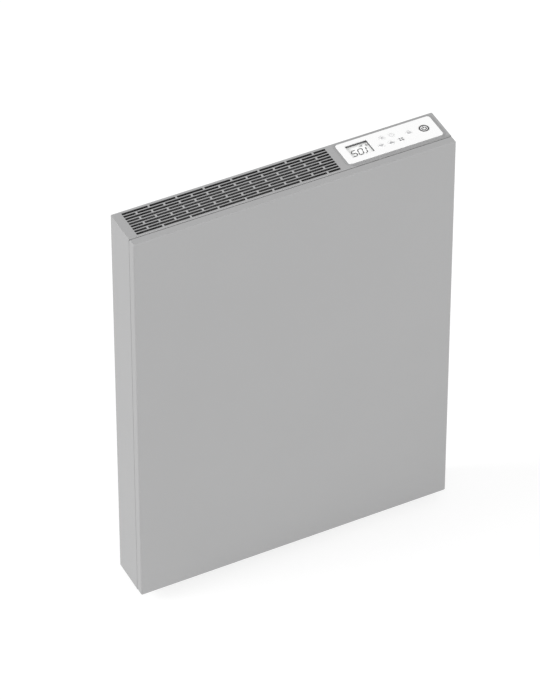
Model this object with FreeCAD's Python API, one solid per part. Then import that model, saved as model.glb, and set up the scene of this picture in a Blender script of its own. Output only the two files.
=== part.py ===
import FreeCAD, Part
import math
import os

# Slim wall-hung electric radiator, in millimetres.
# The wall is the plane y = 0, the front faces -Y and +Z is up.
# The origin is the centre of the four wall screws, level with the middle of the casing.

Vec = FreeCAD.Vector

# Casing
CASE_WIDTH = 450.0
CASE_HEIGHT = 600.0
CASE_DEPTH = 66.0
WALL_GAP = 14.0
SHEET = 1.2
BEND = 0.4
TRAY_DEPTH = 11.7
TRAY_BEND = 0.8
PLATE_ROUND = 0.8
SEAM = 0.8
LIP = 9.0
FLANGE = 13.0
LIP_GAP = 0.2
FIT = 0.3
SMALL_ROUND = 1.0

# How far a cutting tool passes the face that it cuts
OVER = 1.0

# Outlet and inlet grilles
SLOT_PITCH = 38.0
SLOT_BRIDGE = 2.5
SLOT_WIDTH = 3.8
SLOT_CORNER = 0.6
ROW_PITCH = 5.2
GRILLE_SIDE_INSET = 13.0
GRILLE_BACK_INSET = 5.9
GRILLE_FRONT_MARGIN = 4.0
GRILLE_PANEL_GAP = 11.4

# Panel catches
CATCH_SHEET = 1.0
CATCH_WIDTH = 24.0
CATCH_HEIGHT = 14.0
CATCH_REACH = 5.0
CATCH_SPACING = 150.0

# Control panel, its places counted from the left end of the fascia
PANEL_RIGHT_INSET = 7.2
PANEL_BACK_INSET = 4.9
PANEL_FRONT_INSET = 6.8
FASCIA_CORNER = 4.2
FASCIA_THICK = 2.2
FASCIA_PROUD = 0.8
FASCIA_FIT = 0.15
BEZEL_RIM = 2.8
BEZEL_PROUD = 0.5
BEZEL_WALL = 1.0
LEDGE = 3.4
LEDGE_THICK = 1.2
LCD_LEFT_INSET = 9.9
LCD_LENGTH = 32.1
LCD_BACK_INSET = 7.0
LCD_FRONT_INSET = 9.4
LCD_RECESS = 3.2
LCD_MARGIN = 1.6
WINDOW_THICK = 0.8
GASKET_WALL = 0.8
GASKET_FIT = 0.1
GASKET_DROP = 0.3

# Keys
KEY_RADIUS = 4.2
POWER_RADIUS = 7.1
KEY_FIT = 0.2
KEY_PROUD = 0.2
KEY_ROUND = 0.3
KEY_RIM = 0.8
KEY_RIM_THICK = 0.8
KEY_REST_GAP = 0.1
KEY_TRAVEL = 0.8
KEY_SPARE = 0.7
KEY_PITCH = 14.05
UPPER_KEY_PITCH = 13.3
LCD_TO_KEYS = 11.2
KEYS_TO_LOCK = 14.8
LOCK_TO_POWER = 20.8
POWER_RIGHT_INSET = 17.4
LOWER_ROW_OFFSET = -5.8
UPPER_ROW_OFFSET = 7.4
LOCK_OFFSET = 2.0
POWER_OFFSET = 0.6
STEM_RADIUS = 1.6
STEM_FIT = 0.2
STEM_ENGAGE = 1.0
SWITCH_SIDE = 6.0
SWITCH_FLOOR = 1.0

# Control housing and boards
TUB_DEPTH = 36.0
TUB_WALL = 2.0
BOARD_THICK = 1.6
BOARD_FIT = 0.4
PAD_INSET = 5.4
PAD_RADIUS = 2.7
COLUMN_RADIUS = 4.2
COLUMN_HEAD_DROP = 5.0
PILOT_DEPTH = 5.0
POST_RADIUS = 2.6
POST_HEIGHT = 5.0
POST_INSET = 4.0
RELAY_SIZE = (20.0, 15.0, 16.0)
TRANSFORMER_SIZE = (30.0, 26.0, 17.0)
COMPONENT_INSET = 12.0
COMPONENT_GAP = 8.0
CAPACITOR_RADIUS = 5.0
CAPACITOR_HEIGHT = 15.0
SHIELD_GAP = 8.0
CONTROL_SHIELD_SHEET = 0.8
CONTROL_SHIELD_FLANGE = 12.0
CONTROL_SHIELD_OVERHANG = 4.0

# Heat pack
CORE_SIDE_GAP = 19.8
WIRE_CHANNEL = 49.8
CORE_TOP_GAP = 110.0
CORE_BOTTOM_GAP = 90.0
CORE_THICK = 12.0
CORE_ROUND = 3.0
ELEMENT_RADIUS = 4.0
ELEMENT_FIT = 0.3
ELEMENT_RUNS = 4
RUN_PITCH = 100.0
RUN_EDGE = 20.0
SHEATH_OUT = 6.0
BUSH_LENGTH = 5.0
BUSH_RADIUS = 5.0
PIN_RADIUS = 1.5
CRIMP_LENGTH = 8.0
CRIMP_WALL = 0.9
CRIMP_DEPTH = 4.0
HOLDER_SHEET = 1.6
HOLDER_BEND = 1.0
HOLDER_WIDTH = 30.0
HOLDER_FOOT = 36.0
HOLDER_LIP = 15.0
HOLDER_SPACING = 200.0
EXPANSION_GAP = 0.5
INSULATION_THICK = 6.0
INSULATION_INSET = 10.0
HEAT_SHIELD_SHEET = 0.6
SHIELD_CORNER = 6.0
SHIELD_SCREW_INSET = 20.0

# Wiring, with the lanes counted inwards from the right wall
WIRE_RADIUS = 1.3
SENSOR_WIRE_RADIUS = 1.0
WIRE_BEND = 5.0
WIRE_FIT = 0.4
WIRE_SEAT = 6.0
LIVE_LANE = 38.8
NEUTRAL_LANE = 30.8
MAINS_LANE_DEPTH = 8.8
LOWER_LEAD_LANE = 26.8
LOWER_LEAD_STEP = 6.0
CUTOUT_LANE = 21.8
SENSOR_LANE = 18.8
SENSOR_LANE_DEPTH = 24.8
LANE_SHIFT = 30.0
BLOCK_INSET = 24.8
BLOCK_RISE = 55.0
BLOCK_SIZE = (30.0, 18.0, 22.0)
POLE_PITCH = 8.0
CLAMP_RADIUS = 1.9
CLAMP_LENGTH = 3.0
CLAMP_WELL = 6.0
CLAMP_SPREAD = 5.5
EARTH_RISE = 110.0
STUD_RADIUS = 2.0
STUD_LENGTH = 10.0
LUG_RADIUS = 5.0
NUT_RADIUS = 4.0
NUT_HEIGHT = 4.0
LUG_DEPTH = 4.3
LUG_REACH = 12.0
CUTOUT_RADIUS = 8.0
CUTOUT_DEPTH = 8.0
CUTOUT_RISE = 10.0
CUTOUT_FLANGE = (1.0, 10.0, 24.0)
SENSOR_INSET = 8.8
SENSOR_FRONT_GAP = 7.2
SENSOR_RADIUS = 2.5
SENSOR_LENGTH = 14.0
CLIP_SIDE = 9.0
CLIP_HEIGHT = 12.0
CLIP_FLOOR = 3.0

# Cable gland
GLAND_INSET = 24.8
GLAND_DEPTH = 24.8
CABLE_RADIUS = 3.6
GLAND_STEM_RADIUS = 7.7
GLAND_FIT = 0.2
GLAND_FLATS = 20.0
GLAND_HEX = 4.0
GLAND_CAP_RADIUS = 8.8
GLAND_CAP = 10.0
GLAND_STEM = 12.0
GLAND_NUT = 5.0

# Wall brackets
RAIL_SHEET = 2.0
RAIL_BEND = 1.5
HOLE_ROW_INSET = 100.0
HOLE_SPACING = 240.0
HOLE_RADIUS = 3.25
HOOK_SPACING = 300.0
HOOK_RISE = 22.0
RAIL_DROP = 15.0
ARM_HEIGHT = 12.0
TIP_HEIGHT = 14.0
TIP_WIDTH = 8.0
TIP_GAP = 1.0
SHOULDER_GAP = 0.5
LIFT = 14.5
HOOK_SLOT_FIT = 0.8
HOOK_SLOT_SPARE = 0.5
LOWER_RAIL_TOP = 18.0
LOWER_RAIL_DROP = 22.0
LOWER_RAIL_END = 30.0
LAND_HEIGHT = 14.0
BUMPER_RADIUS = 6.0
BUMPER_HEIGHT = 3.0
BUMPER_GAP = 0.2
BUMPER_STEM = 2.4
BUMPER_BARB = 3.4
BUMPER_BARB_LENGTH = 1.5
BUMPER_FIT = 0.1

# Screws
SCREW_RADIUS = 1.45
SCREW_FIT = 0.1
SCREW_HEAD_RADIUS = 3.0
SCREW_HEAD = 1.6
SCREW_TIP = 0.8
SCREW_SPREAD = 135.0
SCREWS_PER_ROW = 4
CROSS_WIDTH = 0.8
CROSS_DEPTH = 0.9
CROSS_LENGTH = 3.4
SMALL_SCREW_RADIUS = 1.2
SMALL_HEAD_RADIUS = 2.3
SMALL_HEAD = 1.4
SMALL_CROSS_LENGTH = 2.6

# Casing planes
RIGHT = CASE_WIDTH / 2
LEFT = -RIGHT
TOP = CASE_HEIGHT / 2
BOTTOM = -TOP
BACK = -WALL_GAP
FRONT = BACK - CASE_DEPTH
RIGHT_INNER = RIGHT - SHEET
BACK_INNER = BACK - SHEET
FRONT_INNER = FRONT + SHEET
FLOOR = BOTTOM + SHEET
JOGGLE = SHEET + 2 * BEND + LIP_GAP
TRAY_EDGE = FRONT + TRAY_DEPTH
SHELL_EDGE = TRAY_EDGE + SEAM
LIP_END = SHELL_EDGE - LIP
FLAT_FRONT = SHELL_EDGE + SHEET + BEND
FLANGE_FACE = BACK_INNER - FIT
FLANGE_SCREW_Z = TOP - (FLANGE + SHEET + BEND) / 2
LIP_MIDDLE = (SHELL_EDGE + LIP_END) / 2

# Control panel planes
KEYS_LENGTH = 2 * KEY_PITCH + KEYS_TO_LOCK + LOCK_TO_POWER + POWER_RIGHT_INSET
FASCIA_LENGTH = LCD_LEFT_INSET + LCD_LENGTH + LCD_TO_KEYS + KEYS_LENGTH
FASCIA_RIGHT = RIGHT - PANEL_RIGHT_INSET
FASCIA_LEFT = FASCIA_RIGHT - FASCIA_LENGTH
FASCIA_BACK = BACK - PANEL_BACK_INSET
FASCIA_FRONT = SHELL_EDGE + PANEL_FRONT_INSET
FASCIA_MIDDLE = (FASCIA_BACK + FASCIA_FRONT) / 2
FASCIA_TOP = TOP + FASCIA_PROUD
FASCIA_BOTTOM = FASCIA_TOP - FASCIA_THICK
LEDGE_BOTTOM = FASCIA_BOTTOM - LEDGE_THICK
SWITCH_HEIGHT = SWITCH_FLOOR + STEM_ENGAGE + KEY_TRAVEL + KEY_SPARE
KEY_RIM_TOP = FASCIA_BOTTOM - KEY_REST_GAP
KEY_RIM_BOTTOM = KEY_RIM_TOP - KEY_RIM_THICK
SWITCH_TOP = KEY_RIM_BOTTOM - KEY_TRAVEL - KEY_SPARE
DISPLAY_TOP = SWITCH_TOP - SWITCH_HEIGHT
DISPLAY_BOTTOM = DISPLAY_TOP - BOARD_THICK
WINDOW_TOP = FASCIA_TOP - LCD_RECESS
LCD_X = (FASCIA_LEFT + LCD_LEFT_INSET, FASCIA_LEFT + LCD_LEFT_INSET + LCD_LENGTH)
LCD_Y = (FASCIA_FRONT + LCD_FRONT_INSET, FASCIA_BACK - LCD_BACK_INSET)
TUB_BOTTOM = LEDGE_BOTTOM - TUB_DEPTH
TUB_FLOOR = TUB_BOTTOM + TUB_WALL
POWER_BOTTOM = TUB_FLOOR + POST_HEIGHT
POWER_TOP = POWER_BOTTOM + BOARD_THICK
POWER_X_INSET = PAD_INSET + COLUMN_RADIUS + BOARD_FIT
POWER_Y_INSET = TUB_WALL + BOARD_FIT

# Key places
FIRST_KEY_X = LCD_X[1] + LCD_TO_KEYS
LOWER_ROW_Y = FASCIA_MIDDLE + LOWER_ROW_OFFSET
UPPER_ROW_Y = FASCIA_MIDDLE + UPPER_ROW_OFFSET
LOCK_X = FIRST_KEY_X + 2 * KEY_PITCH + KEYS_TO_LOCK
KEYS = {
    "key_down": (FIRST_KEY_X, LOWER_ROW_Y, KEY_RADIUS),
    "key_up": (FIRST_KEY_X + KEY_PITCH, LOWER_ROW_Y, KEY_RADIUS),
    "key_menu": (FIRST_KEY_X + 2 * KEY_PITCH, LOWER_ROW_Y, KEY_RADIUS),
    "key_mode": (FIRST_KEY_X + KEY_PITCH - UPPER_KEY_PITCH / 2, UPPER_ROW_Y, KEY_RADIUS),
    "key_timer": (FIRST_KEY_X + KEY_PITCH + UPPER_KEY_PITCH / 2, UPPER_ROW_Y, KEY_RADIUS),
    "key_lock": (LOCK_X, FASCIA_MIDDLE + LOCK_OFFSET, KEY_RADIUS),
    "power_key": (LOCK_X + LOCK_TO_POWER, FASCIA_MIDDLE + POWER_OFFSET, POWER_RADIUS),
}

# Heat pack planes
CORE_LEFT = LEFT + SHEET + CORE_SIDE_GAP
CORE_RIGHT = RIGHT_INNER - WIRE_CHANNEL
CORE_TOP = TOP - CORE_TOP_GAP
CORE_BOTTOM = BOTTOM + CORE_BOTTOM_GAP
CORE_MIDDLE = (BACK_INNER + FRONT_INNER) / 2
CORE_BACK = CORE_MIDDLE + CORE_THICK
CORE_FRONT = CORE_MIDDLE - CORE_THICK
CORE_MID_Z = (CORE_TOP + CORE_BOTTOM) / 2
SHEATH_END = CORE_RIGHT + SHEATH_OUT
CRIMP_START = SHEATH_END + BUSH_LENGTH
CRIMP_END = CRIMP_START + CRIMP_LENGTH
LEAD_START = CRIMP_END - CRIMP_DEPTH
CRIMP_BORE = WIRE_RADIUS + WIRE_FIT / 2
CRIMP_RADIUS = CRIMP_BORE + CRIMP_WALL
LOWEST_RUN = CORE_MID_Z - RUN_PITCH * (ELEMENT_RUNS - 1) / 2
HIGHEST_RUN = CORE_MID_Z + RUN_PITCH * (ELEMENT_RUNS - 1) / 2

# Wiring places
BLOCK_X = RIGHT_INNER - BLOCK_INSET
BLOCK_Z = BOTTOM + BLOCK_RISE
BLOCK_TOP = BLOCK_Z + BLOCK_SIZE[2] / 2
WIRE_START = BLOCK_TOP - WIRE_SEAT
MAINS_Y = BACK_INNER - MAINS_LANE_DEPTH
EARTH_Z = BOTTOM + EARTH_RISE
CUTOUT_Z = CORE_TOP + CUTOUT_RISE
CUTOUT_FACE = RIGHT_INNER - CUTOUT_FLANGE[0] - CUTOUT_DEPTH
CUTOUT_WIRE_X = CUTOUT_FACE - CRIMP_RADIUS + CRIMP_WALL / 2
CUTOUT_CRIMP = CUTOUT_RADIUS / 2
SENSOR_X = RIGHT_INNER - SENSOR_INSET
SENSOR_Y = SHELL_EDGE + SENSOR_FRONT_GAP
SENSOR_BOTTOM = FLOOR + CLIP_FLOOR
SENSOR_TOP = SENSOR_BOTTOM + SENSOR_LENGTH
LANES = {
    "live": (RIGHT_INNER - LIVE_LANE, MAINS_Y, WIRE_RADIUS),
    "neutral": (RIGHT_INNER - NEUTRAL_LANE, MAINS_Y, WIRE_RADIUS),
    "lower_lead": (RIGHT_INNER - LOWER_LEAD_LANE, CORE_MIDDLE - LOWER_LEAD_STEP, WIRE_RADIUS),
    "cutout": (RIGHT_INNER - CUTOUT_LANE, CORE_MIDDLE, WIRE_RADIUS),
    "sensor": (RIGHT_INNER - SENSOR_LANE, BACK_INNER - SENSOR_LANE_DEPTH, SENSOR_WIRE_RADIUS),
}

# Wall bracket planes
HOLE_Z = TOP - HOLE_ROW_INSET
ARM_TOP = HOLE_Z + HOOK_RISE
TIP_BACK = BACK_INNER - TIP_GAP
ARM_END = TIP_BACK - TIP_WIDTH
HOOK_X = HOOK_SPACING / 2
HOLE_X = HOLE_SPACING / 2
HOOK_SLOT_HEIGHT = ARM_HEIGHT + LIFT + HOOK_SLOT_SPARE
LAND_FACE = BACK + BUMPER_HEIGHT + BUMPER_GAP
LAND_BOTTOM = -HOLE_Z - LOWER_RAIL_DROP
BUMPER_Z = LAND_BOTTOM + LAND_HEIGHT / 2


# Basic shapes
def box(x, y, z):
    """Block between two bounds along each axis."""
    low = Vec(min(x), min(y), min(z))
    return Part.makeBox(abs(x[1] - x[0]), abs(y[1] - y[0]), abs(z[1] - z[0]), low)


def rod(start, end, radius):
    """Round bar from one point to another."""
    return Part.makeCylinder(radius, (end - start).Length, start, end - start)


def hexagon(centre, flats, height):
    """Upright hexagonal prism on a centre point, by its width across flats."""
    reach = flats / math.sqrt(3)
    angles = [math.radians(60 * corner) for corner in range(7)]
    points = [centre + Vec(reach * math.cos(a), reach * math.sin(a), 0) for a in angles]
    return Part.Face(Part.makePolygon(points)).extrude(Vec(0, 0, height))


def edges_along(shape, axis):
    """Straight edges of a shape that run along an axis."""
    return [edge for edge in shape.Edges if abs(edge.tangentAt(edge.FirstParameter).dot(axis)) > 0.999]


def rounded_box(x, y, z, radius, axis):
    """Block whose four edges along an axis are rounded."""
    block = box(x, y, z)
    return block.makeFillet(radius, edges_along(block, axis))


def rounded_path(points, radii):
    """Edges along a run of points, with a tangent arc at each inner point."""
    edges = []
    here = points[0]
    for before, corner, after, radius in zip(points, points[1:], points[2:], radii):
        back = (before - corner).normalize()
        ahead = (after - corner).normalize()
        half = back.getAngle(ahead) / 2
        start = corner + back * (radius / math.tan(half))
        end = corner + ahead * (radius / math.tan(half))
        inward = (back + ahead).normalize()
        middle = corner + inward * (radius / math.sin(half) - radius)
        edges.append(Part.makeLine(here, start))
        edges.append(Part.Arc(start, middle, end).toShape())
        here = end
    edges.append(Part.makeLine(here, points[-1]))
    return edges


def folded_sheet(points, thickness, bend, along):
    """Sheet folded at points on one of its faces: it stands to their left and runs along a vector."""
    normal = Vec(along).normalize()
    runs = [(b - a).normalize() for a, b in zip(points, points[1:])]
    lefts = [normal.cross(run) for run in runs]
    other_face = [points[0] + lefts[0] * thickness]
    near_radii = []
    far_radii = []
    for index in range(1, len(points) - 1):
        first = lefts[index - 1]
        second = lefts[index]
        other_face.append(points[index] + (first + second) * (thickness / (1 + first.dot(second))))
        turns_left = runs[index - 1].cross(runs[index]).dot(normal) > 0
        near_radii.append(bend + thickness if turns_left else bend)
        far_radii.append(bend if turns_left else bend + thickness)
    other_face.append(points[-1] + lefts[-1] * thickness)
    edges = rounded_path(points, near_radii)
    edges.append(Part.makeLine(points[-1], other_face[-1]))
    edges += rounded_path(other_face[::-1], far_radii[::-1])
    edges.append(Part.makeLine(other_face[0], points[0]))
    return Part.Face(Part.Wire(edges)).extrude(along)


def tube_along(edges, radius):
    """Solid round tube along a chain of tangent edges."""
    path = Part.Wire(edges)
    first = edges[0]
    start = first.valueAt(first.FirstParameter)
    direction = first.tangentAt(first.FirstParameter)
    ring = Part.Wire(Part.makeCircle(radius, start, direction))
    return path.makePipeShell([ring], True, False)


def wire_tube(points, radius, bend):
    """Wire of one bend radius along a list of points."""
    return tube_along(rounded_path(points, [bend] * (len(points) - 2)), radius)


def carve(shape, tools):
    """A solid with a list of tools cut from it."""
    return shape.cut(tools).removeSplitter().Solids[0]


def join(shapes):
    """Several solids as one."""
    return shapes[0].fuse(shapes[1:]).removeSplitter().Solids[0]


def spread(count, pitch):
    """Places of evenly spaced things about zero."""
    return [pitch * (index - (count - 1) / 2) for index in range(count)]


def screw(seat, axis, radius, length, head_radius, head_height, cross_length):
    """Pan-head screw with a cross recess: the head sits on the seat and the shank points along the axis."""
    head = Part.makeCylinder(head_radius, head_height)
    rim = [edge for edge in head.Edges if edge.Closed and edge.BoundBox.ZMin > head_height / 2]
    head = head.makeFillet(head_height / 2, rim)
    shank = Part.makeCylinder(radius, length, Vec(0, 0, -length))
    half = cross_length / 2
    width = CROSS_WIDTH / 2
    recess = (head_height - CROSS_DEPTH, head_height + OVER)
    cross = [box((-half, half), (-width, width), recess), box((-width, width), (-half, half), recess)]
    whole = carve(join([head, shank]), cross)
    whole.Placement = FreeCAD.Placement(seat, FreeCAD.Rotation(Vec(0, 0, -1), axis))
    return whole


def case_screw(seat, axis, length):
    """Screw of the casing's size."""
    return screw(seat, axis, SCREW_RADIUS, length, SCREW_HEAD_RADIUS, SCREW_HEAD, CROSS_LENGTH)


def small_screw(seat, axis, length):
    """Screw of the control housing's size."""
    return screw(seat, axis, SMALL_SCREW_RADIUS, length, SMALL_HEAD_RADIUS, SMALL_HEAD, SMALL_CROSS_LENGTH)


# Places where screws go through the back wall: each is x and z
def plate_screw_places():
    """Screws into the rear flanges of the top and bottom plates."""
    columns = spread(SCREWS_PER_ROW, SCREW_SPREAD)
    return [(x, z) for x in columns for z in (FLANGE_SCREW_Z, -FLANGE_SCREW_Z)]


def holder_screw_places():
    """Screws into the feet of the core's brackets."""
    middle = (HOLDER_SHEET + HOLDER_BEND + HOLDER_FOOT) / 2
    columns = [x + side for x in spread(2, HOLDER_SPACING) for side in (-HOLDER_WIDTH / 4, HOLDER_WIDTH / 4)]
    return [(x, z) for x in columns for z in (CORE_TOP + EXPANSION_GAP + middle, CORE_BOTTOM - middle)]


def control_shield_screw_places():
    """Screws into the flange of the control shield."""
    left, right = control_shield_ends()
    z = control_shield_top() - CONTROL_SHIELD_FLANGE / 2
    return [(left + CONTROL_SHIELD_FLANGE, z), (right - CONTROL_SHIELD_FLANGE, z)]


def block_screw_places():
    """Screws into the back of the terminal block, between its poles."""
    return [(BLOCK_X + x, BLOCK_Z) for x in spread(2, POLE_PITCH)]


def shield_screw_places():
    """Screws through the insulation and the heat shield."""
    left, right, bottom, top = insulation_bounds()
    columns = (left + SHIELD_SCREW_INSET, right - SHIELD_SCREW_INSET)
    rows = (bottom + SHIELD_SCREW_INSET, top - SHIELD_SCREW_INSET)
    return [(x, z) for x in columns for z in rows]


def back_holes(places, depth):
    """Clearance holes through what lies within a depth of the outside of the back wall."""
    radius = SCREW_RADIUS + SCREW_FIT
    return [rod(Vec(x, BACK + OVER, z), Vec(x, BACK - depth, z), radius) for x, z in places]


# Casing
def rear_casing():
    """Back and sides folded from one sheet, with stepped lips at the front, hook slots and screw holes."""
    outline = [
        (RIGHT - JOGGLE, LIP_END), (RIGHT - JOGGLE, SHELL_EDGE), (RIGHT, SHELL_EDGE), (RIGHT, BACK),
        (LEFT, BACK), (LEFT, SHELL_EDGE), (LEFT + JOGGLE, SHELL_EDGE), (LEFT + JOGGLE, LIP_END),
    ]
    shell = folded_sheet([Vec(x, y, BOTTOM) for x, y in outline], SHEET, BEND, Vec(0, 0, CASE_HEIGHT))
    relief = JOGGLE + SHEET + FIT
    between = (LEFT + SHEET, RIGHT - SHEET)
    lips = (LIP_END - OVER, SHELL_EDGE + SHEET + BEND)
    cuts = [box(between, lips, (TOP - relief, TOP + OVER))]
    cuts.append(box(between, lips, (BOTTOM - OVER, BOTTOM + relief)))
    across = (LEFT - OVER, RIGHT + OVER)
    flats = (FLAT_FRONT, BACK + OVER)
    cuts.append(box(across, flats, (TOP - SHEET, TOP + OVER)))
    cuts.append(box(across, flats, (BOTTOM - OVER, BOTTOM + SHEET)))
    half = RAIL_SHEET / 2 + HOOK_SLOT_FIT
    slot = (ARM_TOP - HOOK_SLOT_HEIGHT, ARM_TOP)
    for x in (-HOOK_X, HOOK_X):
        cuts.append(box((x - half, x + half), (BACK_INNER - OVER, BACK + OVER), slot))
    places = plate_screw_places() + holder_screw_places() + control_shield_screw_places()
    places += block_screw_places() + shield_screw_places()
    cuts += back_holes(places, SHEET + OVER)
    return carve(shell, cuts)


def plate_flat():
    """Flat of the top plate, out to the casing's faces over the edges of its walls, with a rounded rim."""
    flat = box((LEFT, RIGHT), (FLAT_FRONT, BACK), (TOP - SHEET, TOP))
    corners = [edge for edge in edges_along(flat, Vec(0, 0, 1)) if edge.BoundBox.YMin > FLAT_FRONT + SHEET]
    flat = flat.makeFillet(SHEET + BEND, corners)
    upper = [edge for edge in flat.Edges if edge.BoundBox.ZMin > TOP - SHEET / 2]
    return flat.makeFillet(PLATE_ROUND, [edge for edge in upper if edge.BoundBox.YMax > FLAT_FRONT + SHEET])


def plate_blank():
    """Top plate before its openings: welded flat, rear flange and stepped front lip."""
    x = LEFT + SHEET + FIT
    profile = [
        (FLANGE_FACE, TOP - FLANGE), (FLANGE_FACE, TOP), (SHELL_EDGE, TOP),
        (SHELL_EDGE, TOP - JOGGLE), (LIP_END, TOP - JOGGLE),
    ]
    blank = folded_sheet([Vec(x, y, z) for y, z in profile], SHEET, BEND, Vec(-2 * x, 0, 0))
    trim = BEND + FIT
    below = (TOP - FLANGE - OVER, TOP - SHEET - BEND)
    depth = (FLANGE_FACE + OVER, FLANGE_FACE - SHEET - BEND)
    ends = [box((x - OVER, x + trim), depth, below), box((-x - trim, -x + OVER), depth, below)]
    return join([carve(blank, ends), plate_flat()])


def grille_slots():
    """Slots in staggered rows through the top plate: every second row starts with a half slot."""
    step = SLOT_PITCH / 2
    start = LEFT + GRILLE_SIDE_INSET
    room = FASCIA_LEFT - GRILLE_PANEL_GAP - start
    steps = int((room + SLOT_BRIDGE) / step)
    flat = BACK - SHELL_EDGE
    rows = int((flat - GRILLE_BACK_INSET - GRILLE_FRONT_MARGIN) / ROW_PITCH) + 1
    slots = []
    for row in range(rows):
        middle = BACK - GRILLE_BACK_INSET - row * ROW_PITCH
        y = (middle - SLOT_WIDTH / 2, middle + SLOT_WIDTH / 2)
        begin = 0
        end = 1 if row % 2 else 2
        while begin < steps:
            stop = min(end, steps)
            x = (start + begin * step, start + stop * step - SLOT_BRIDGE)
            slots.append(rounded_box(x, y, (TOP - SHEET - OVER, TOP + OVER), SLOT_CORNER, Vec(0, 0, 1)))
            begin = stop
            end = stop + 2
    return slots


def top_plate():
    """Top with the outlet grille and the control panel's cut-out."""
    cuts = grille_slots()
    cuts.append(panel_block(FASCIA_FIT + BEZEL_WALL + FIT, (TOP - SHEET - OVER, TOP + OVER)))
    cuts += back_holes(plate_screw_places(), WALL_GAP)
    return carve(plate_blank(), cuts)


def panel_screw_places():
    """Screws under the front panel's lower edge, by x."""
    return spread(SCREWS_PER_ROW, SCREW_SPREAD)


def bottom_plate():
    """Underside with the inlet grille, the gland's hole and the holes for the front panel's screws."""
    mirrored = [slot.mirror(Vec(0, 0, 0), Vec(0, 0, 1)) for slot in grille_slots()]
    through = (BOTTOM - OVER, FLOOR + JOGGLE + OVER)
    gland = gland_centre(0)
    cuts = mirrored + [upright((gland.x, gland.y), through, GLAND_STEM_RADIUS + GLAND_FIT)]
    cuts += [upright((x, LIP_MIDDLE), through, SCREW_RADIUS + SCREW_FIT) for x in panel_screw_places()]
    cuts += back_holes(plate_screw_places(), WALL_GAP)
    return carve(plate_blank().mirror(Vec(0, 0, 0), Vec(0, 0, 1)), cuts)


def tray_block(inset, open_edge):
    """Block of the front panel, rounded along its front and at its corners."""
    block = box((LEFT + inset, RIGHT - inset), (FRONT + inset, open_edge), (BOTTOM + inset, TOP - inset))
    rounded = [edge for edge in block.Edges if edge.BoundBox.YMin < FRONT + inset + SHEET / 2]
    return block.makeFillet(TRAY_BEND + SHEET - inset, rounded)


def front_panel():
    """Tray with rounded front edges and screw holes in its lower return."""
    hollow = tray_block(SHEET, TRAY_EDGE + OVER)
    through = (BOTTOM - OVER, FLOOR + OVER)
    radius = SCREW_RADIUS + SCREW_FIT
    holes = [upright((x, LIP_MIDDLE), through, radius) for x in panel_screw_places()]
    return carve(tray_block(0, TRAY_EDGE), [hollow] + holes)


def panel_catches():
    """Angles on the inside of the front panel that reach under the top plate's lip."""
    top = TOP - JOGGLE - SHEET - FIT
    catches = []
    for middle in spread(3, CATCH_SPACING):
        x = middle + CATCH_WIDTH / 2
        profile = [(FRONT_INNER, top - CATCH_HEIGHT), (FRONT_INNER, top), (LIP_END + CATCH_REACH, top)]
        points = [Vec(x, y, z) for y, z in profile]
        catches.append(folded_sheet(points, CATCH_SHEET, BEND, Vec(-CATCH_WIDTH, 0, 0)))
    return Part.makeCompound(catches)


def panel_screws():
    """Screws up through the front panel into the bottom plate's lip."""
    length = JOGGLE + SHEET + FIT + SCREW_TIP
    return Part.makeCompound(
        [case_screw(Vec(x, LIP_MIDDLE, BOTTOM), Vec(0, 0, 1), length) for x in panel_screw_places()]
    )


def back_screws(places, length):
    """Screws through the back wall, with their heads outside."""
    return [case_screw(Vec(x, BACK, z), Vec(0, -1, 0), length) for x, z in places]


def plate_screws():
    """Screws into the rear flanges of the top and bottom plates."""
    return Part.makeCompound(back_screws(plate_screw_places(), 2 * SHEET + FIT + SCREW_TIP))


# Heat pack
def insulation_bounds():
    """Left, right, bottom and top of the insulation board."""
    inset = INSULATION_INSET
    return CORE_LEFT + inset, CORE_RIGHT - inset, CORE_BOTTOM + inset, CORE_TOP - inset


def back_sheet(start, thickness):
    """Sheet of the insulation's outline, parallel to the back wall, with its screw holes."""
    left, right, bottom, top = insulation_bounds()
    y = (start, start - thickness)
    sheet = rounded_box((left, right), y, (bottom, top), SHIELD_CORNER, Vec(0, 1, 0))
    depth = SHEET + INSULATION_THICK + HEAT_SHIELD_SHEET + OVER
    return carve(sheet, back_holes(shield_screw_places(), depth))


def insulation_board():
    """Board against the inside of the back wall."""
    return back_sheet(BACK_INNER, INSULATION_THICK)


def heat_shield():
    """Bright sheet over the insulation."""
    return back_sheet(BACK_INNER - INSULATION_THICK, HEAT_SHIELD_SHEET)


def shield_screws():
    """Screws through the back wall, the insulation and the heat shield."""
    length = SHEET + INSULATION_THICK + HEAT_SHIELD_SHEET + SCREW_TIP
    return Part.makeCompound(back_screws(shield_screw_places(), length))


def element_edges():
    """Centre line of the heating element: level runs joined by half turns."""
    turn = RUN_PITCH / 2
    near = CORE_LEFT + RUN_EDGE + turn
    far = CORE_RIGHT - RUN_EDGE - turn
    heights = [CORE_MID_Z + z for z in spread(ELEMENT_RUNS, RUN_PITCH)]
    edges = []
    for index, z in enumerate(heights):
        going_left = index % 2 == 0
        start = SHEATH_END if index == 0 else (far if going_left else near)
        end = SHEATH_END if index == ELEMENT_RUNS - 1 else (near if going_left else far)
        edges.append(Part.makeLine(Vec(start, CORE_MIDDLE, z), Vec(end, CORE_MIDDLE, z)))
        if index < ELEMENT_RUNS - 1:
            bulge = -turn if going_left else turn
            points = [Vec(end, CORE_MIDDLE, z), Vec(end + bulge, CORE_MIDDLE, z + turn)]
            points.append(Vec(end, CORE_MIDDLE, z + RUN_PITCH))
            edges.append(Part.Arc(*points).toShape())
    return edges


def heating_element():
    """Tubular element that winds between the slabs."""
    return tube_along(element_edges(), ELEMENT_RADIUS)


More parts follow.
